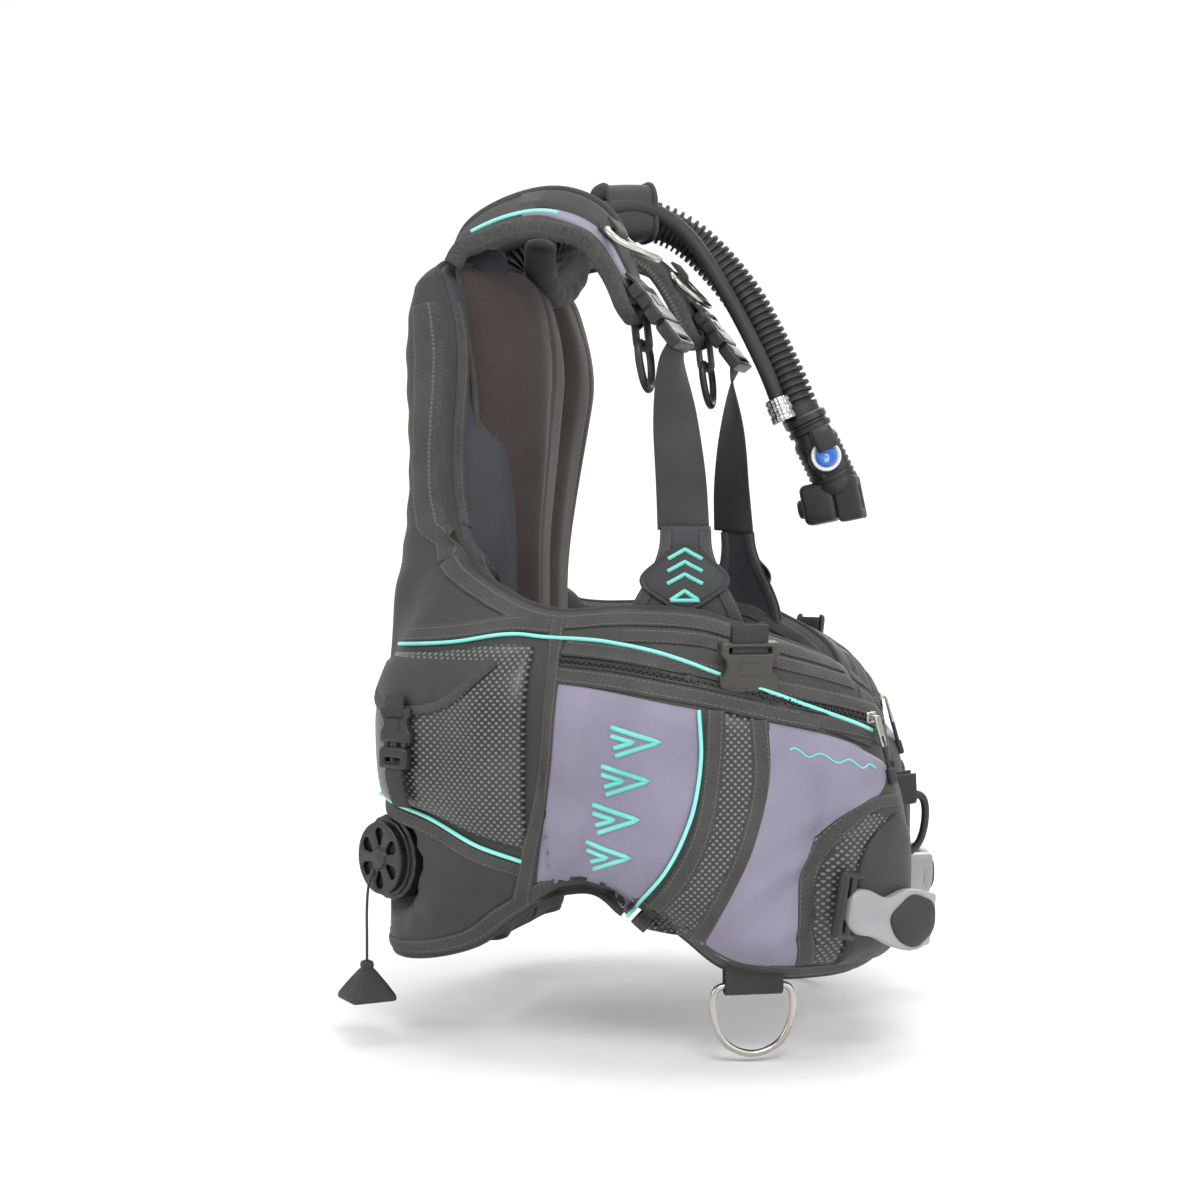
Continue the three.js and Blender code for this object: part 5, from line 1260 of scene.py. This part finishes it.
def makeShoulder(side):
    tag = "Right" if side < 0 else "Left"
    node = tag.lower()
    path, across, up, half, thick = padCourse(side)
    turn = np.linspace(0, 2 * np.pi, 36, endpoint=False)
    c = np.sign(np.cos(turn)) * np.abs(np.cos(turn)) ** 0.55
    h = np.sign(np.sin(turn)) * np.abs(np.sin(turn)) ** 0.7
    s = np.linspace(0, 1, len(path))
    end = np.sqrt(np.clip(1 - np.clip((s - 0.93) / 0.07, 0, 1) ** 2, 0.12, 1))
    soft = 1 + 0.03 * np.sin(s * 40)
    points = (path[:, None] + across[:, None] * (c[None] * (half * end)[:, None])[..., None]
              + up[:, None] * (h[None] * (thick * soft / 2)[:, None])[..., None])
    n, m = points.shape[:2]
    faces = ringFaces(n, m)
    faces += [tuple(range(m))[::-1], tuple(range((n - 1) * m, n * m))]
    along = s[:, None] * lengthOf(path)
    uv = np.stack(np.broadcast_arrays(along, (turn * 20)[None]), -1).reshape(-1, 2)
    pad = pieceOf(f"shoulderPad{tag}", (points.reshape(-1, 3), faces, uv), "softBinding",
        node=f"shoulder_pad_{node}", sided=side)
    # edge tapes, ribbed stretch piece, lilac facing, piping
    for k, sign in enumerate((1, -1)):
        rim = path + across * (half * end * 0.985 * sign)[:, None]
        flat = [(math.cos(a) * 3.6, math.sin(a) * (thick[0] / 2 + 0.9))
            for a in np.linspace(0, 2 * np.pi, 16, endpoint=False)]
        body = sweep(rim, 1.0, section=flat, first=across[0])
        pieceOf(f"shoulderEdge{tag}{k}", body, "bindingTape", sided=side)
    padPatch(f"shoulderStretch{tag}", side, 0.0, 0.4, (-0.62, -0.62), (0.8, 0.8), 0.8, "blackWebbing")
    padPatch(f"shoulderTweed{tag}", side, 0.0, 0.95, (0.7, 0.7, 0.72), (0.98, 0.97, 0.95), 1.5,
        "bindingTape")
    padPatch(f"shoulderFacing{tag}", side, 0.34, 0.95, (0.42, 0.1, 0.02), (0.74, 0.74, 0.76), 1.2,
        "lilacSatin", crown=0.8)
    padPatch(f"shoulderTop{tag}", side, 0.3, 0.97, (-0.9, -0.9, -0.9), (0.1, 0.05, 0.0), 1.4,
        "bindingTape", crown=0.5)
    t = np.linspace(0.14, 0.5, 40)
    line = onPad(side, t, np.interp(t, (0.14, 0.5), (0.66, 0.5)), np.full(t.shape, 1.6))
    pieceOf(f"shoulderPiping{tag}", sweep(line, 1.7, 10), "mintPiping", sided=side)
    t = np.linspace(0.4, 0.93, 60)
    strapC = np.linspace(-1, 1, 7)
    grid = np.stack(np.broadcast_arrays(t[:, None], (strapC * 0.52 - 0.22)[None]), -1)
    lift = np.broadcast_to(np.where(np.abs(strapC) > 0.99, 1.0, 3.4)[None], grid.shape[:2])
    points = onPad(side, grid[..., 0], grid[..., 1], lift)
    uv = np.stack(np.broadcast_arrays((t * lengthOf(path))[:, None], (strapC * 19)[None]),
        -1).reshape(-1, 2)
    pieceOf(f"shoulderStrap{tag}", (points, gridFaces(60, 7), uv), "blackWebbing", sided=side)
    # steel ring in its folded loop
    look = shoulder[side]
    bowAt = frameAt((91, -123, look["ringHeight"]), (1, 0, 0), (0, 0.62, 0.78))
    pieceOf(f"shoulderRing{tag}", placedAt(bowAt, steelRing(25, 36, 2.6, look["ringBend"])),
        "stainlessSteel",
            f"shoulder_dring_{node}", f"shoulder_dring_{node}", side)
    pieceOf(f"shoulderRingLoop{tag}", placedAt(bowAt, foldedLoop(14, 3.4, 9)), "blackWebbing",
        sided=side)
    # quick buckle
    along = unit((0, -0.61, -0.79))
    socketAt = frameAt((96, -153, 180), (1, 0, 0), -along)
    plugAt = frameAt((96, -170.5, 157.3), (1, 0, 0), -along)
    hardEdges(pieceOf(f"shoulderSocket{tag}", placedAt(socketAt, socketShape(46, 11, 34)),
        "blackPlastic",
                      node=f"shoulder_socket_{node}", sided=side))
    hardEdges(pieceOf(f"shoulderPlug{tag}", placedAt(plugAt, plugShape(44, 10, 22, 20)), "blackPlastic",
                      f"shoulder_plug_{node}", f"shoulder_plug_{node}", side))
    pieceOf(f"socketLoop{tag}", placedAt(frameAt((96, -143.7, 192), (1, 0, 0), (0, 0.72, 0.69)),
        foldedLoop(18.5, 2.2, 12)), "blackWebbing",
            sided=side)
    ringAt = frameAt((96, -146, 152), (1, 0, 0), (0, 0.12, 1))
    pieceOf(f"pullRing{tag}", placedAt(ringAt, steelRing(14, 34, 3.0)), "blackPlastic",
        f"pull_ring_{node}",
            f"pull_ring_{node}", side)
    pieceOf(f"pullRingLoop{tag}", placedAt(ringAt, foldedLoop(8, 3.6, 20, 1.8)), "blackWebbing",
        sided=side)
    # chest webbing and its tab
    pull = vest["leftPull"] * 0.62 if side > 0 else 0.0
    stations = [(96, -171.5, 152, 0.02), (96, -168.5, 140, 0.2), (100, -172, 98, 0.75),
        (110, -179, 50, 1.1), (118, -183, 14, 1.26)]
    course = flow([(x, y + pull * float(smooth((140 - z) / 130)), z, turn_) for x, y, z,
        turn_ in stations], 3.0)
    wide = np.stack([np.cos(course[:, 3]), np.sin(course[:, 3]), np.zeros(len(course))], -1)
    ahead = np.gradient(course[:, :3], axis=0)
    ahead /= np.linalg.norm(ahead, axis=1)[:, None]
    wide -= ahead * (wide * ahead).sum(-1)[:, None]
    wide /= np.linalg.norm(wide, axis=1)[:, None]
    face = np.cross(ahead, wide)
    section = np.array([(-1, 0.4), (-0.97, 1), (-0.5, 1), (0, 1), (0.5, 1), (0.97, 1), (1, 0.4),
        (1, -0.4), (0.97, -1), (0, -1), (-0.97, -1), (-1, -0.4)])
    points = course[:, None, :3] + wide[:, None] * (section[:, 0] * 19)[None, :, None] + face[:,
        None] * (section[:, 1] * 1.05)[None, :, None]
    n, m = points.shape[:2]
    faces = ringFaces(n, m)
    faces += [tuple(range(m))[::-1], tuple(range((n - 1) * m, n * m))]
    uv = np.stack(np.broadcast_arrays((np.arange(n) * 3.0)[:, None], (section[:, 0] * 19)[None]),
        -1).reshape(-1, 2)
    pieceOf(f"chestWebbing{tag}", (points.reshape(-1, 3), faces, uv), "blackWebbing",
        node=f"chest_webbing_{node}", sided=side)
    def onTab(g, z, rise):
        return wall(side * g, z, -27 - 16 * smooth((z + 50) / 70) + rise)
    u, v = np.meshgrid(np.linspace(0, 1, 30), np.linspace(0, 1, 24), indexing="ij")
    g = 344 + (u - 0.5) * mix(106, 46, smooth(v * 1.12))
    z = mix(-74, 16, v)
    pieces = []
    for face_ in (1, -1):
        pieces.append(onTab(g, z, face_ * 2.2 * np.sqrt(np.clip(1 - np.abs(u * 2 - 1) ** 14, 0.1,
            1))).reshape(-1, 3))
    index = np.arange(u.size).reshape(u.shape)
    loop = rimOf(index)
    k = len(loop)
    faces = gridFaces(30, 24) + gridFaces(30, 24, u.size)
    faces += [(loop[i], loop[(i + 1) % k], loop[(i + 1) % k] + u.size, loop[i] + u.size)
        for i in range(k)]
    flat = np.stack([g, z], -1).reshape(-1, 2)
    makePiece(f"chestTab{tag}", np.vstack(pieces), faces, finishes["liningNylon"],
        uv=np.vstack([flat, flat]))
    for j, sign in enumerate((-1, 1)):
        v1 = np.linspace(0.0, 0.97, 20)
        edge = np.stack([344 + sign * 0.5 * mix(106, 46, smooth(v1 * 1.12)) - sign * 5,
            mix(-74, 16, v1)], -1)
        edge = flow(edge, 3.0)
        normal = domainNormal(edge)
        for face_, word in ((1, "Out"), (-1, "In")):
            acrossT = np.array([-5.5, -5.2, -2, 0, 2, 5.2, 5.5])
            lift = np.array([1.0, 3.0, 3.4, 3.5, 3.4, 3.0, 1.0]) * face_
            gridT = edge[:, None] + normal[:, None] * acrossT[None, :, None]
            pts = onTab(gridT[..., 0], gridT[..., 1], np.broadcast_to(lift, gridT.shape[:2])).reshape(-1,
                3)
            uvT = np.stack(np.broadcast_arrays((np.arange(len(edge)) * 3.0)[:, None], acrossT[None]),
                -1).reshape(-1, 2)
            makePiece(f"tabBinding{tag}{word}{j}", pts, gridFaces(len(edge), 7), finishes["bindingTape"],
                uv=uvT)
    # rubber patch with a plain motif
    ring = np.array(softLine([(344 - 45, -24), (344, -50), (344 + 45, -24), (344, 9)], 17, 9))
    centre = np.array([344.0, -21.0])
    shells, uvs = [], []
    for scale, rise in ((1.0, 2.0), (1.0, 4.6), (0.965, 5.4), (0.93, 5.2), (0.90, 4.3), (0.87, 5.0),
        (0.80, 5.3), (0.5, 5.5), (0.02, 5.5)):
        line = centre + (ring - centre) * scale
        shells.append(onTab(line[:, 0], line[:, 1], np.full(len(line), rise)))
        uvs.append(line)
    m = len(ring)
    faces = ringFaces(len(shells), m)
    faces.append(tuple(range((len(shells) - 1) * m, len(shells) * m)))
    makePiece(f"chestPatch{tag}", np.vstack(shells), faces, finishes["blackRubber"],
        uv=np.vstack(uvs))
    strokes = [[(344 - 15, -8), (344, -1), (344 + 15, -8)],
        [(344 - 15, -17), (344, -10), (344 + 15, -17)], [(344 - 15, -26), (344, -19), (344 + 15, -26)],
               [(344 - 12, -38), (344, -31), (344 + 12, -38), (344 - 12, -38)]]
    marks = []
    for stroke in strokes:
        line = np.vstack([np.linspace(a, b, 9) for a, b in zip(np.array(stroke, float),
            np.array(stroke, float)[1:])])
        at = onTab(line[:, 0], line[:, 1], np.full(len(line), 5.6))
        marks.append(sweep(at[np.r_[True, np.linalg.norm(np.diff(at, axis=0), axis=1) > 0.1]], 1.5, 8))
    pieceOf(f"patchMotif{tag}", joined(*marks), "mintThread")

for side in (-1, 1):
    makeShoulder(side)
print("shoulders")

# rings, buckles and zips on the lobes
def bagOuter(side, g, z, rise):
    halfSwell = wallSwell(abs(g))
    low, high = float(bottomEdge(g)), float(topEdge(side * g))
    up = np.clip((z - low) / (high - low), 0, 1)
    nose = math.sqrt(max(0.0, 1 - (max(0.0, g - 492) / 41) ** 2))
    round_ = mix(math.sqrt(4 * up * (1 - up)), 0.12, float(skirtAt(g, z)))
    return wall(side * g, z, float(levelAt(side * g, z)) + max(1.5,
        float(halfSwell) * nose * round_) + rise)

def lobeFrame(side, g, z, rise, down):
    at, ahead = bagOuter(side, g, z, rise), bagOuter(side, g + 4, z, rise)
    at, ahead = flipX(at, "right" if side < 0 else ""), flipX(ahead, "right" if side < 0 else "")
    return frameAt(at, ahead - at, down)

def sideWall(side, g, z, out):
    return flipX(wall(side * g, z, out), "right" if side < 0 else "")

def grip(outline_, crown, thick, steps=7):
    outline_ = np.array(outline_, float)
    centre = outline_.mean(0)
    rows = []
    for scale, lift in [(1.0, -thick / 2), (1.0, 0.0)] + [(math.cos(a), math.sin(a))
        for a in np.linspace(0.12, 1.5, steps)]:
        height = lift if scale == 1.0 else thick * 0.1 + lift * crown
        line = centre + (outline_ - centre) * scale
        rows.append(np.column_stack([line[:, 0], np.full(len(line), height), line[:, 1]]))
    m = len(outline_)
    faces = ringFaces(len(rows), m)
    faces += [tuple(range(m))[::-1], tuple(range((len(rows) - 1) * m, len(rows) * m))]
    return np.vstack(rows), faces, None

def dressSide(side):
    tag = "Right" if side < 0 else "Left"
    node = tag.lower()
    # weight pouch and its grip
    pouchAt = frameAt(sideWall(side, 452, -236, 30), (-0.83, -0.52, -0.22), (-0.2, -0.12, 1))
    pouch = bandPiece(f"weightPouch{tag}", [tuple(through(pouchAt, (x, 0, 0)))
        for x in (-46, -20, 10, 46)], 69, 14, "softBinding",
                      f"weight_pouch_{node}", side, across=pouchAt[:3, 2], body=f"weight_pouch_{node}",
                      step=6)
    frame_ = moulding(softLine([(-26, -34), (-26, -10), (-12, -6), (10, -11), (30, -1), (50, -0.5),
        (61, -8), (62.5, -24), (57, -38), (42, -43.5),
                                (22, -42), (2, -37), (-12, -38)], 7, 5), [], 9, 2.6, 3)
    neck = roundBox(11, 37, 38, 2.5, 58, -15, -20)
    shift = np.array([-9, 0, 0])
    handle = pieceOf(f"weightHandle{tag}", placedAt(pouchAt,
        (joined((frame_[0] * np.array([1.04, 1, 1.04]) + np.array([0, 31, 0]) + shift, *frame_[1:]),
                                                                    (neck[0] + np.array([0, 31,
                                                                        0]) + shift, *neck[1:])))),
                     "greyPlastic", f"weight_pouch_{node}", f"weight_handle_{node}", side)
    hardEdges(handle, 40)
    insert = grip(softLine([(12, -24), (33, -4.5), (57, -8), (60.5, -27), (44, -42), (24, -38)], 8, 6),
        5.0, 6.0)
    pieceOf(f"handleGrip{tag}", placedAt(pouchAt, (insert[0] * np.array([1.06, 1, 1.06]) + np.array([-1,
        35.6, 1.5]) + shift, *insert[1:])), "blackRubber",
            f"weight_pouch_{node}", None, side)
    for k, x in enumerate((-33, -41)):
        bar = roundBox(5.5, 8, 46, 2.0, x, 29, -20)
        pieceOf(f"pouchClip{tag}{k}", placedAt(pouchAt, bar), "blackPlastic", "vest",
            None, side)
    for k, z in enumerate((1, -41)):
        bar = roundBox(20, 7, 5, 2.0, -34, 29, z)
        pieceOf(f"pouchClipBar{tag}{k}", placedAt(pouchAt, bar), "blackPlastic", "vest",
            None, side)
    # zip slider and pull
    zipAt = lobeFrame(side, 466, -122, 5, (0.2, 0.1, 1))
    slider = joined(roundBox(15, 3.0, 9, 1.0, 0, -1.6, 0), roundBox(13, 2.6, 8, 1.0, 0, 2.0, 0),
        roundBox(5, 6, 3, 0.9, 0, 4.4, 0))
    hardEdges(pieceOf(f"zipSlider{tag}", placedAt(zipAt, slider), "stainlessSteel",
        f"zip_slider_{node}", f"zip_slider_{node}", side))
    tip = np.eye(4)
    tip[:3, :3] = Matrix.Rotation(0.24, 3, "X")
    tip[:3, 3] = (0, 7, 0)
    back = np.eye(4)
    back[1, 3] = -7
    tagAt = zipAt @ tip @ back
    metal = moulding(softLine([(-3.6, 1.4), (3.6, 1.4), (4.2, -8), (3.2, -22), (-3.2, -22), (-4.2, -8)],
        2.0), [softLine(rectangle(4.2, 4.5, 0, -16), 1.2, 3)], 2.2, 0.7)
    metal = (metal[0] + np.array([0, 7, 0]), *metal[1:])
    cord = sweep([(0, 7, z) for z in np.linspace(-16, -40, 12)], 1.7, 10)
    knob = roundBox(8.4, 5.0, 12, 1.8, 0, 7.2, -43)
    pieceOf(f"zipPull{tag}", placedAt(tagAt, metal), "stainlessSteel", f"zip_pull_{node}",
        f"zip_pull_{node}", side)
    pieceOf(f"zipPullTail{tag}", placedAt(tagAt, joined(cord, knob)), "blackRubber",
        f"zip_pull_{node}", None, side)
    # hip ring and its wide loop
    ahead = sideWall(side, 396, -312, 8) - sideWall(side, 388, -312, 8)
    hipAt = frameAt(sideWall(side, 392, -312, 8), ahead, (0, 0, 1))
    pieceOf(f"hipRing{tag}", placedAt(hipAt, steelRing(27, 48, 2.6)), "stainlessSteel",
        f"hip_dring_{node}", f"hip_dring_{node}", side)
    pieceOf(f"hipLoop{tag}", placedAt(hipAt, foldedLoop(21, 3.4, 27)), "blackWebbing",
        sided=side)
    # plastic ring at the front edge
    noseAt = frameAt(sideWall(side, 524, -186, 29), (-0.5, -0.87, 0.1), (0.2, 0.1, 1))
    pieceOf(f"frontRing{tag}", placedAt(noseAt, steelRing(15, 44, 3.0)), "blackPlastic",
        f"front_dring_{node}", f"front_dring_{node}", side)
    pieceOf(f"frontLoop{tag}", placedAt(noseAt, foldedLoop(9, 3.9, 18)), "blackWebbing",
        sided=side)
    # chest buckle on its short strap
    buckleAt = lobeFrame(side, 384, -84, 13, (0.25, 0.1, 1))
    shape = socketShape(43, 13, 38) if side < 0 else plugShape(38, 9, 20, 18)
    word = "socket" if side < 0 else "plug"
    hardEdges(pieceOf(f"frontBuckle{tag}", placedAt(buckleAt, shape), "brownPlastic",
        node=f"front_buckle_{word}", sided=side))
    top = 11.5 if side < 0 else 4.5
    loopAt = buckleAt @ np.array([[1, 0, 0, 0], [0, 1, 0, 0], [0, 0, 1, top], [0, 0, 0, 1]], float)
    pieceOf(f"frontBuckleLoop{tag}", placedAt(loopAt, foldedLoop(13, 2.0, 20)), "blackWebbing",
        sided=side)
    # rear pocket's small buckle
    trimAt = lobeFrame(side, 163, -128, 16, (0, 0, 1))
    lowAt = lobeFrame(side, 163, -151.5, 18, (0, 0, 1))
    hardEdges(pieceOf(f"trimSocket{tag}", placedAt(trimAt, socketShape(30, 9, 26)), "blackPlastic",
        sided=side))
    hardEdges(pieceOf(f"trimPlug{tag}", placedAt(lowAt, plugShape(28, 8, 16, 15)), "blackPlastic",
        f"trim_plug_{node}", f"trim_plug_{node}", side))
    pieceOf(f"trimLoop{tag}", placedAt(trimAt @ frameAt((0, 0, 8), (1, 0, 0), (0, 0, 1)),
        foldedLoop(9, 1.8, 14)), "blackWebbing", sided=side)
    bandPiece(f"trimTail{tag}", [tuple(through(lowAt, (0, y, z))) for y,
        z in ((1, -3), (1.5, -14), (-2, -26), (-6, -36))], 17, 1.8,
                     "blackWebbing", None, side, across=lowAt[:3, 0],
                     body=f"trim_plug_{node}", step=3)
    # stitched motif down the first lilac panel, and a thin wave on the second
    strokes = []
    for k in range(4):
        z, g = -124 - k * 27, 318 - k * 6
        strokes += [[(g - 15, z), (g + 14, z - 10), (g - 12, z - 20)],
            [(g - 15, z - 6), (g - 1, z - 10.5), (g - 13, z - 14.5)]]
    marks = []
    for stroke in strokes:
        pts = np.array(stroke, float)
        line = np.vstack([np.linspace(a, b, 10)[:-1] for a, b in zip(pts, pts[1:])] + [pts[-1:]])
        marks.append(sweep(lay(side * line[:, 0], line[:, 1], 2.7), 1.7, 8))
    pieceOf(f"panelMotif{tag}", joined(*marks), "mintThread")
    t = np.linspace(0, 1, 60)
    wave = lay(side * mix(404, 452, t), mix(-140, -156, t) + 2.0 * np.sin(t * 22), np.full(60, 2.9))
    pieceOf(f"panelWave{tag}", sweep(wave, 0.7, 8), "mintThread")

for side in (-1, 1):
    dressSide(side)
print("side hardware")

# tank side
def makeTankSide():
    outline_ = softLine([(-46, -178), (46, -178), (66, -146), (66, 132), (46, 152), (-46, 152),
        (-66, 132), (-66, -146)], 9, 5)
    slots = [softLine(rectangle(14, 56, x, z), 5, 4) for x in (-49, 49) for z in (66, -76)]
    grooves = [softLine(rectangle(44, 16, 0, z), 6, 4) for z in (118, 8, -22, -132)]
    plate_ = moulding(outline_, slots + grooves, 12, 2.4, 3)
    hardEdges(pieceOf("tankPlate", (plate_[0] + np.array([0, -6, 0]), *plate_[1:]), "platePlastic",
        node="tank_plate"), 50)
    ribs = [roundBox(96, 4, 5, 1.6, 0, -1.6, z) for z in (132, 104, 22, -36, -118, -146)]
    pieceOf("plateRibs", joined(*ribs), "platePlastic")
    line = [(-51, -9), (-51, -3), (-48, 1.6), (-41, 3.6), (0, 3.6), (41, 3.6), (48, 1.6), (51, -3),
        (51, -9)]
    bandPiece("tankBand", [(x, y, 66) for x, y in line], 50, 3, "blackWebbing", "tank_band",
        step=3)
    cam = joined(roundBox(44, 4, 62, 1.4, 0, 7.5, 66), roundBox(22, 17, 4, 1.4, -6, 14, 95),
        roundBox(22, 17, 4, 1.4, -6, 14, 37))
    hardEdges(pieceOf("camBuckle", cam, "blackPlastic", node="cam_buckle"))
    bars = [roundBox(3, 2.4, 44, 1.0, x, 20.6, 66) for x in (4, 12, 20, 28)]
    lever = joined(roundBox(50, 5, 52, 2.0, 11.5, 17.5, 66), roundBox(10, 9, 52, 4.2, -12, 15.5, 66),
        *bars)
    hardEdges(pieceOf("camLever", lever, "blackPlastic", "cam_lever", "cam_lever"))

makeTankSide()

# dump valve
def makeValve():
    scallop = lambda turn: 1 + 0.016 * np.clip(np.cos(turn * 18), -0.2, 1)
    cup = lathe([[0, -14], [30.6, -14], [31.2, -2], [31.4, 3.6], [30.2, 5], [29.2, 5.2], [28.8, 7.4],
        [27.8, 8], [24, 8], [22.4, 6.8], [22, 0.2], [0, 0.2]], 108, scallop)
    hardEdges(pieceOf("valveBase", placedAt(valvePlace, cup), "blackPlastic",
        node="dump_valve_base"), 40)
    disc = lathe([[0, 0.6], [20, 0.6], [20, 3], [6, 4], [6, 8], [0, 8]], 40)
    pieceOf("valveDisc", placedAt(valvePlace, disc), "blackRubber", "dump_valve_disc",
        "dump_valve_disc")
    flat = np.array([[1, 0, 0, 0], [0, 0, -1, 0], [0, 1, 0, 0], [0, 0, 0, 1]], float)
    turn = np.linspace(0, 2 * np.pi, 72, endpoint=False)
    windows = []
    for k in range(6):
        a = (k + 0.5) / 6 * 2 * np.pi
        shape = np.array(softLine([(9.5, -1.6), (19, -5.4), (22.6, -3), (22.6, 3), (19, 5.4),
            (9.5, 1.6)], 1.6, 3))
        windows.append([(x * math.cos(a) - y * math.sin(a), x * math.sin(a) + y * math.cos(a)) for x,
            y in shape])
    cover = moulding([(25.6 * math.cos(a), 25.6 * math.sin(a)) for a in turn], windows, 2.6, 1.0, 3)
    ringTop = lathe([[23.4, 11], [26.8, 11], [26.8, 13.4], [25.6, 14.2], [24.2, 14.2], [23.4, 13.2],
        [23.4, 11]], 72)
    dome = lathe([[0, 11.6], [8.6, 11.6], [8.6, 14], [7.4, 15.4], [0, 15.8]], 40)
    part = joined(placedAt(flat, (cover[0] + np.array([0, 12.8, 0]), *cover[1:])), ringTop[:2] + (None,),
        dome)
    hardEdges(pieceOf("valveCap", placedAt(valvePlace, part), "blackPlastic",
        node="dump_valve_cap"), 45)

makeValve()

# inflator
def makeInflator():
    lie = np.array([[1, 0, 0, 14], [0, 0, 1, 0], [0, -1, 0, 174], [0, 0, 0, 1]], float)
    stand = frameAt((14, 6, 178), (1, 0, 0), (0, 0, 1))
    flange = lathe([[0, -12], [18, -12], [18, -5], [14, -3], [13, 2], [13, 13], [11, 14.5], [0, 14.5]])
    riser = lathe([[0, 0], [13, 0], [13, 8], [14.6, 10], [14.6, 14], [13, 16], [13, 22], [15, 24],
        [15, 30], [13, 32], [13, 34], [0, 34]])
    pieceOf("inflatorElbow", joined(placedAt(lie, flange), placedAt(stand, riser)), "blackPlastic",
        node="inflator_elbow")
    # nylon wrap that holds both hoses to the shoulder
    start, end = np.array([64, -62, 276.0]), np.array([90, -98, 279.0])
    ahead = unit(end - start)
    across = unit(np.array([0.8, 0.6, 0]) - ahead * np.dot((0.8, 0.6, 0), ahead))
    up = np.cross(across, ahead)
    turn = np.linspace(0, 2 * np.pi, 56, endpoint=False)
    loops = []
    span = np.linalg.norm(end - start)
    for s, scale in ((5, 0.70), (0.8, 0.93), (0, 0.97), (0.6, 1.0), (6, 0.99), (12, 1.0),
        (span / 2, 1.01), (span - 12, 1.0), (span - 6, 0.99), (span - 0.6, 1.0),
                     (span, 0.97), (span - 0.8, 0.93), (span - 5, 0.70)):
        c = np.sign(np.cos(turn)) * np.abs(np.cos(turn)) ** 0.62 * 25 * scale
        h = np.sign(np.sin(turn)) * np.abs(np.sin(turn)) ** 0.62 * 23 * scale
        loops.append(start + ahead * s + across * c[:, None] + up * h[:, None])
    m = len(turn)
    faces = ringFaces(len(loops), m)
    faces += [tuple(range(m))[::-1], tuple(range((len(loops) - 1) * m, len(loops) * m))]
    uv = np.array([(i * 4.0, k * 2.6) for i in range(len(loops)) for k in range(m)])
    wrap = pieceOf("hoseSleeve", (np.vstack(loops), faces, uv), "shellNylon",
        node="hose_sleeve")
    for k, s in enumerate((2.5, span - 2.5)):
        c = np.sign(np.cos(turn)) * np.abs(np.cos(turn)) ** 0.62 * 25.2
        h = np.sign(np.sin(turn)) * np.abs(np.sin(turn)) ** 0.62 * 23.2
        edge = start + ahead * s + across * c[:, None] + up * h[:, None]
        pieceOf(f"sleeveEdge{k}", sweep(edge, 1.9, 8, closed=True), "bindingTape")
    # body
    bodyAt = frameAt((115, -245, 68), (-0.956, -0.292, 0), (0, 0.45, 0.893))
    snoutAt = frameAt((115, -239, 37), (-1, 0, 0), (0, 0.2, 0.98))
    profile = [[0, -24], [15.5, -24], [17, -22.5], [18.6, -19]]
    for z in range(-16, 20, 5):
        profile += [[18.9, z], [18.9, z + 2.6], [17.9, z + 3.1], [17.9, z + 4.6]]
    profile += [[18.9, 22], [18.2, 25], [16, 28], [16, 31], [18.4, 32], [18.4, 36], [16.4, 37],
        [16.4, 39], [18.2, 40], [18.2, 45], [16.6, 46.5], [0, 46.5]]
    side = np.array([[0, 0, 1, 0], [0, 1, 0, 0], [-1, 0, 0, 8], [0, 0, 0, 1]], float)
    boss = lathe([[9.8, 12], [14.2, 12], [14.2, 19.5], [13, 21], [10.8, 21], [9.8, 20]], 40)
    parts = [lathe(profile, 48), roundBox(19, 24, 36, 3.5, 8, 0, 8),
        roundBox(22, 18, 20, 3.0, 18, 4, 22), placedAt(side, boss)]
    worn = joined(*[placedAt(bodyAt, p) for p in parts],
        placedAt(snoutAt, roundBox(28, 28, 34, 5, 0, 0, 0)))
    hardEdges(pieceOf("inflatorBody", worn, "blackPlastic", node="inflator_body"), 38)
    pieceOf("inflatorRing", placedAt(bodyAt @ side, lathe([[9.9, 18], [12.4, 18], [12.4, 21.6],
        [11.6, 22.2], [10.2, 22.2], [9.9, 21.4]], 40)), "whitePlastic")
    pieceOf("inflateButton", placedAt(bodyAt @ side, lathe([[0, 13.5], [9, 13.5], [9, 22], [8.2, 23.4],
        [6, 23.8], [4.6, 23.2], [0, 23.0]], 40)), "bluePlastic",
            "inflate_button", "inflate_button")
    rear = np.array([[1, 0, 0, 0], [0, 0, -1, 0], [0, 1, 0, -2], [0, 0, 0, 1]], float)
    pieceOf("deflateButton", placedAt(snoutAt @ rear, lathe([[0, 8], [8, 8], [8, 17], [7, 18.5],
        [0, 18.5]], 32)), "blackPlastic",
            "deflate_button", "deflate_button")
    bite = moulding(softLine(rectangle(24, 36, 0, -1), 4, 5),
        [softLine(rectangle(7, 19, 0, -1), 1.2, 3)], 20, 2.0, 3)
    taper = bite[0].copy()
    grow = 1 + 0.006 * taper[:, 1]
    taper[:, 0] *= grow
    taper[:, 1] += 24.5
    hardEdges(pieceOf("mouthpiece", placedAt(snoutAt, joined((taper, *bite[1:]),
        roundBox(20, 4, 30, 1.0, 0, 17, -1))), "blackRubber",
                      node="mouthpiece"), 45)
    collarAt = frameAt((94, -208.3, 117), (1, 0, 0), (-0.02, 0.37, 0.93))
    knurl = lambda turn: 1 + 0.03 * np.cos(turn * 20)
    profile = [[7.3, -14], [10.0, -14], [10.3, -13], [10.3, -8], [9.4, -7.4], [9.4, -6.4], [10.3, -5.8],
        [10.3, 0], [9.4, 0.6], [9.4, 1.4], [10.2, 2], [10.2, 4], [9.3, 6],
               [7.3, 6]]
    pieceOf("quickCollar", placedAt(collarAt, lathe(profile, 80, knurl)), "chromedMetal",
        "quick_collar", "quick_collar")

makeInflator()
print("inflator, valve, tank side")
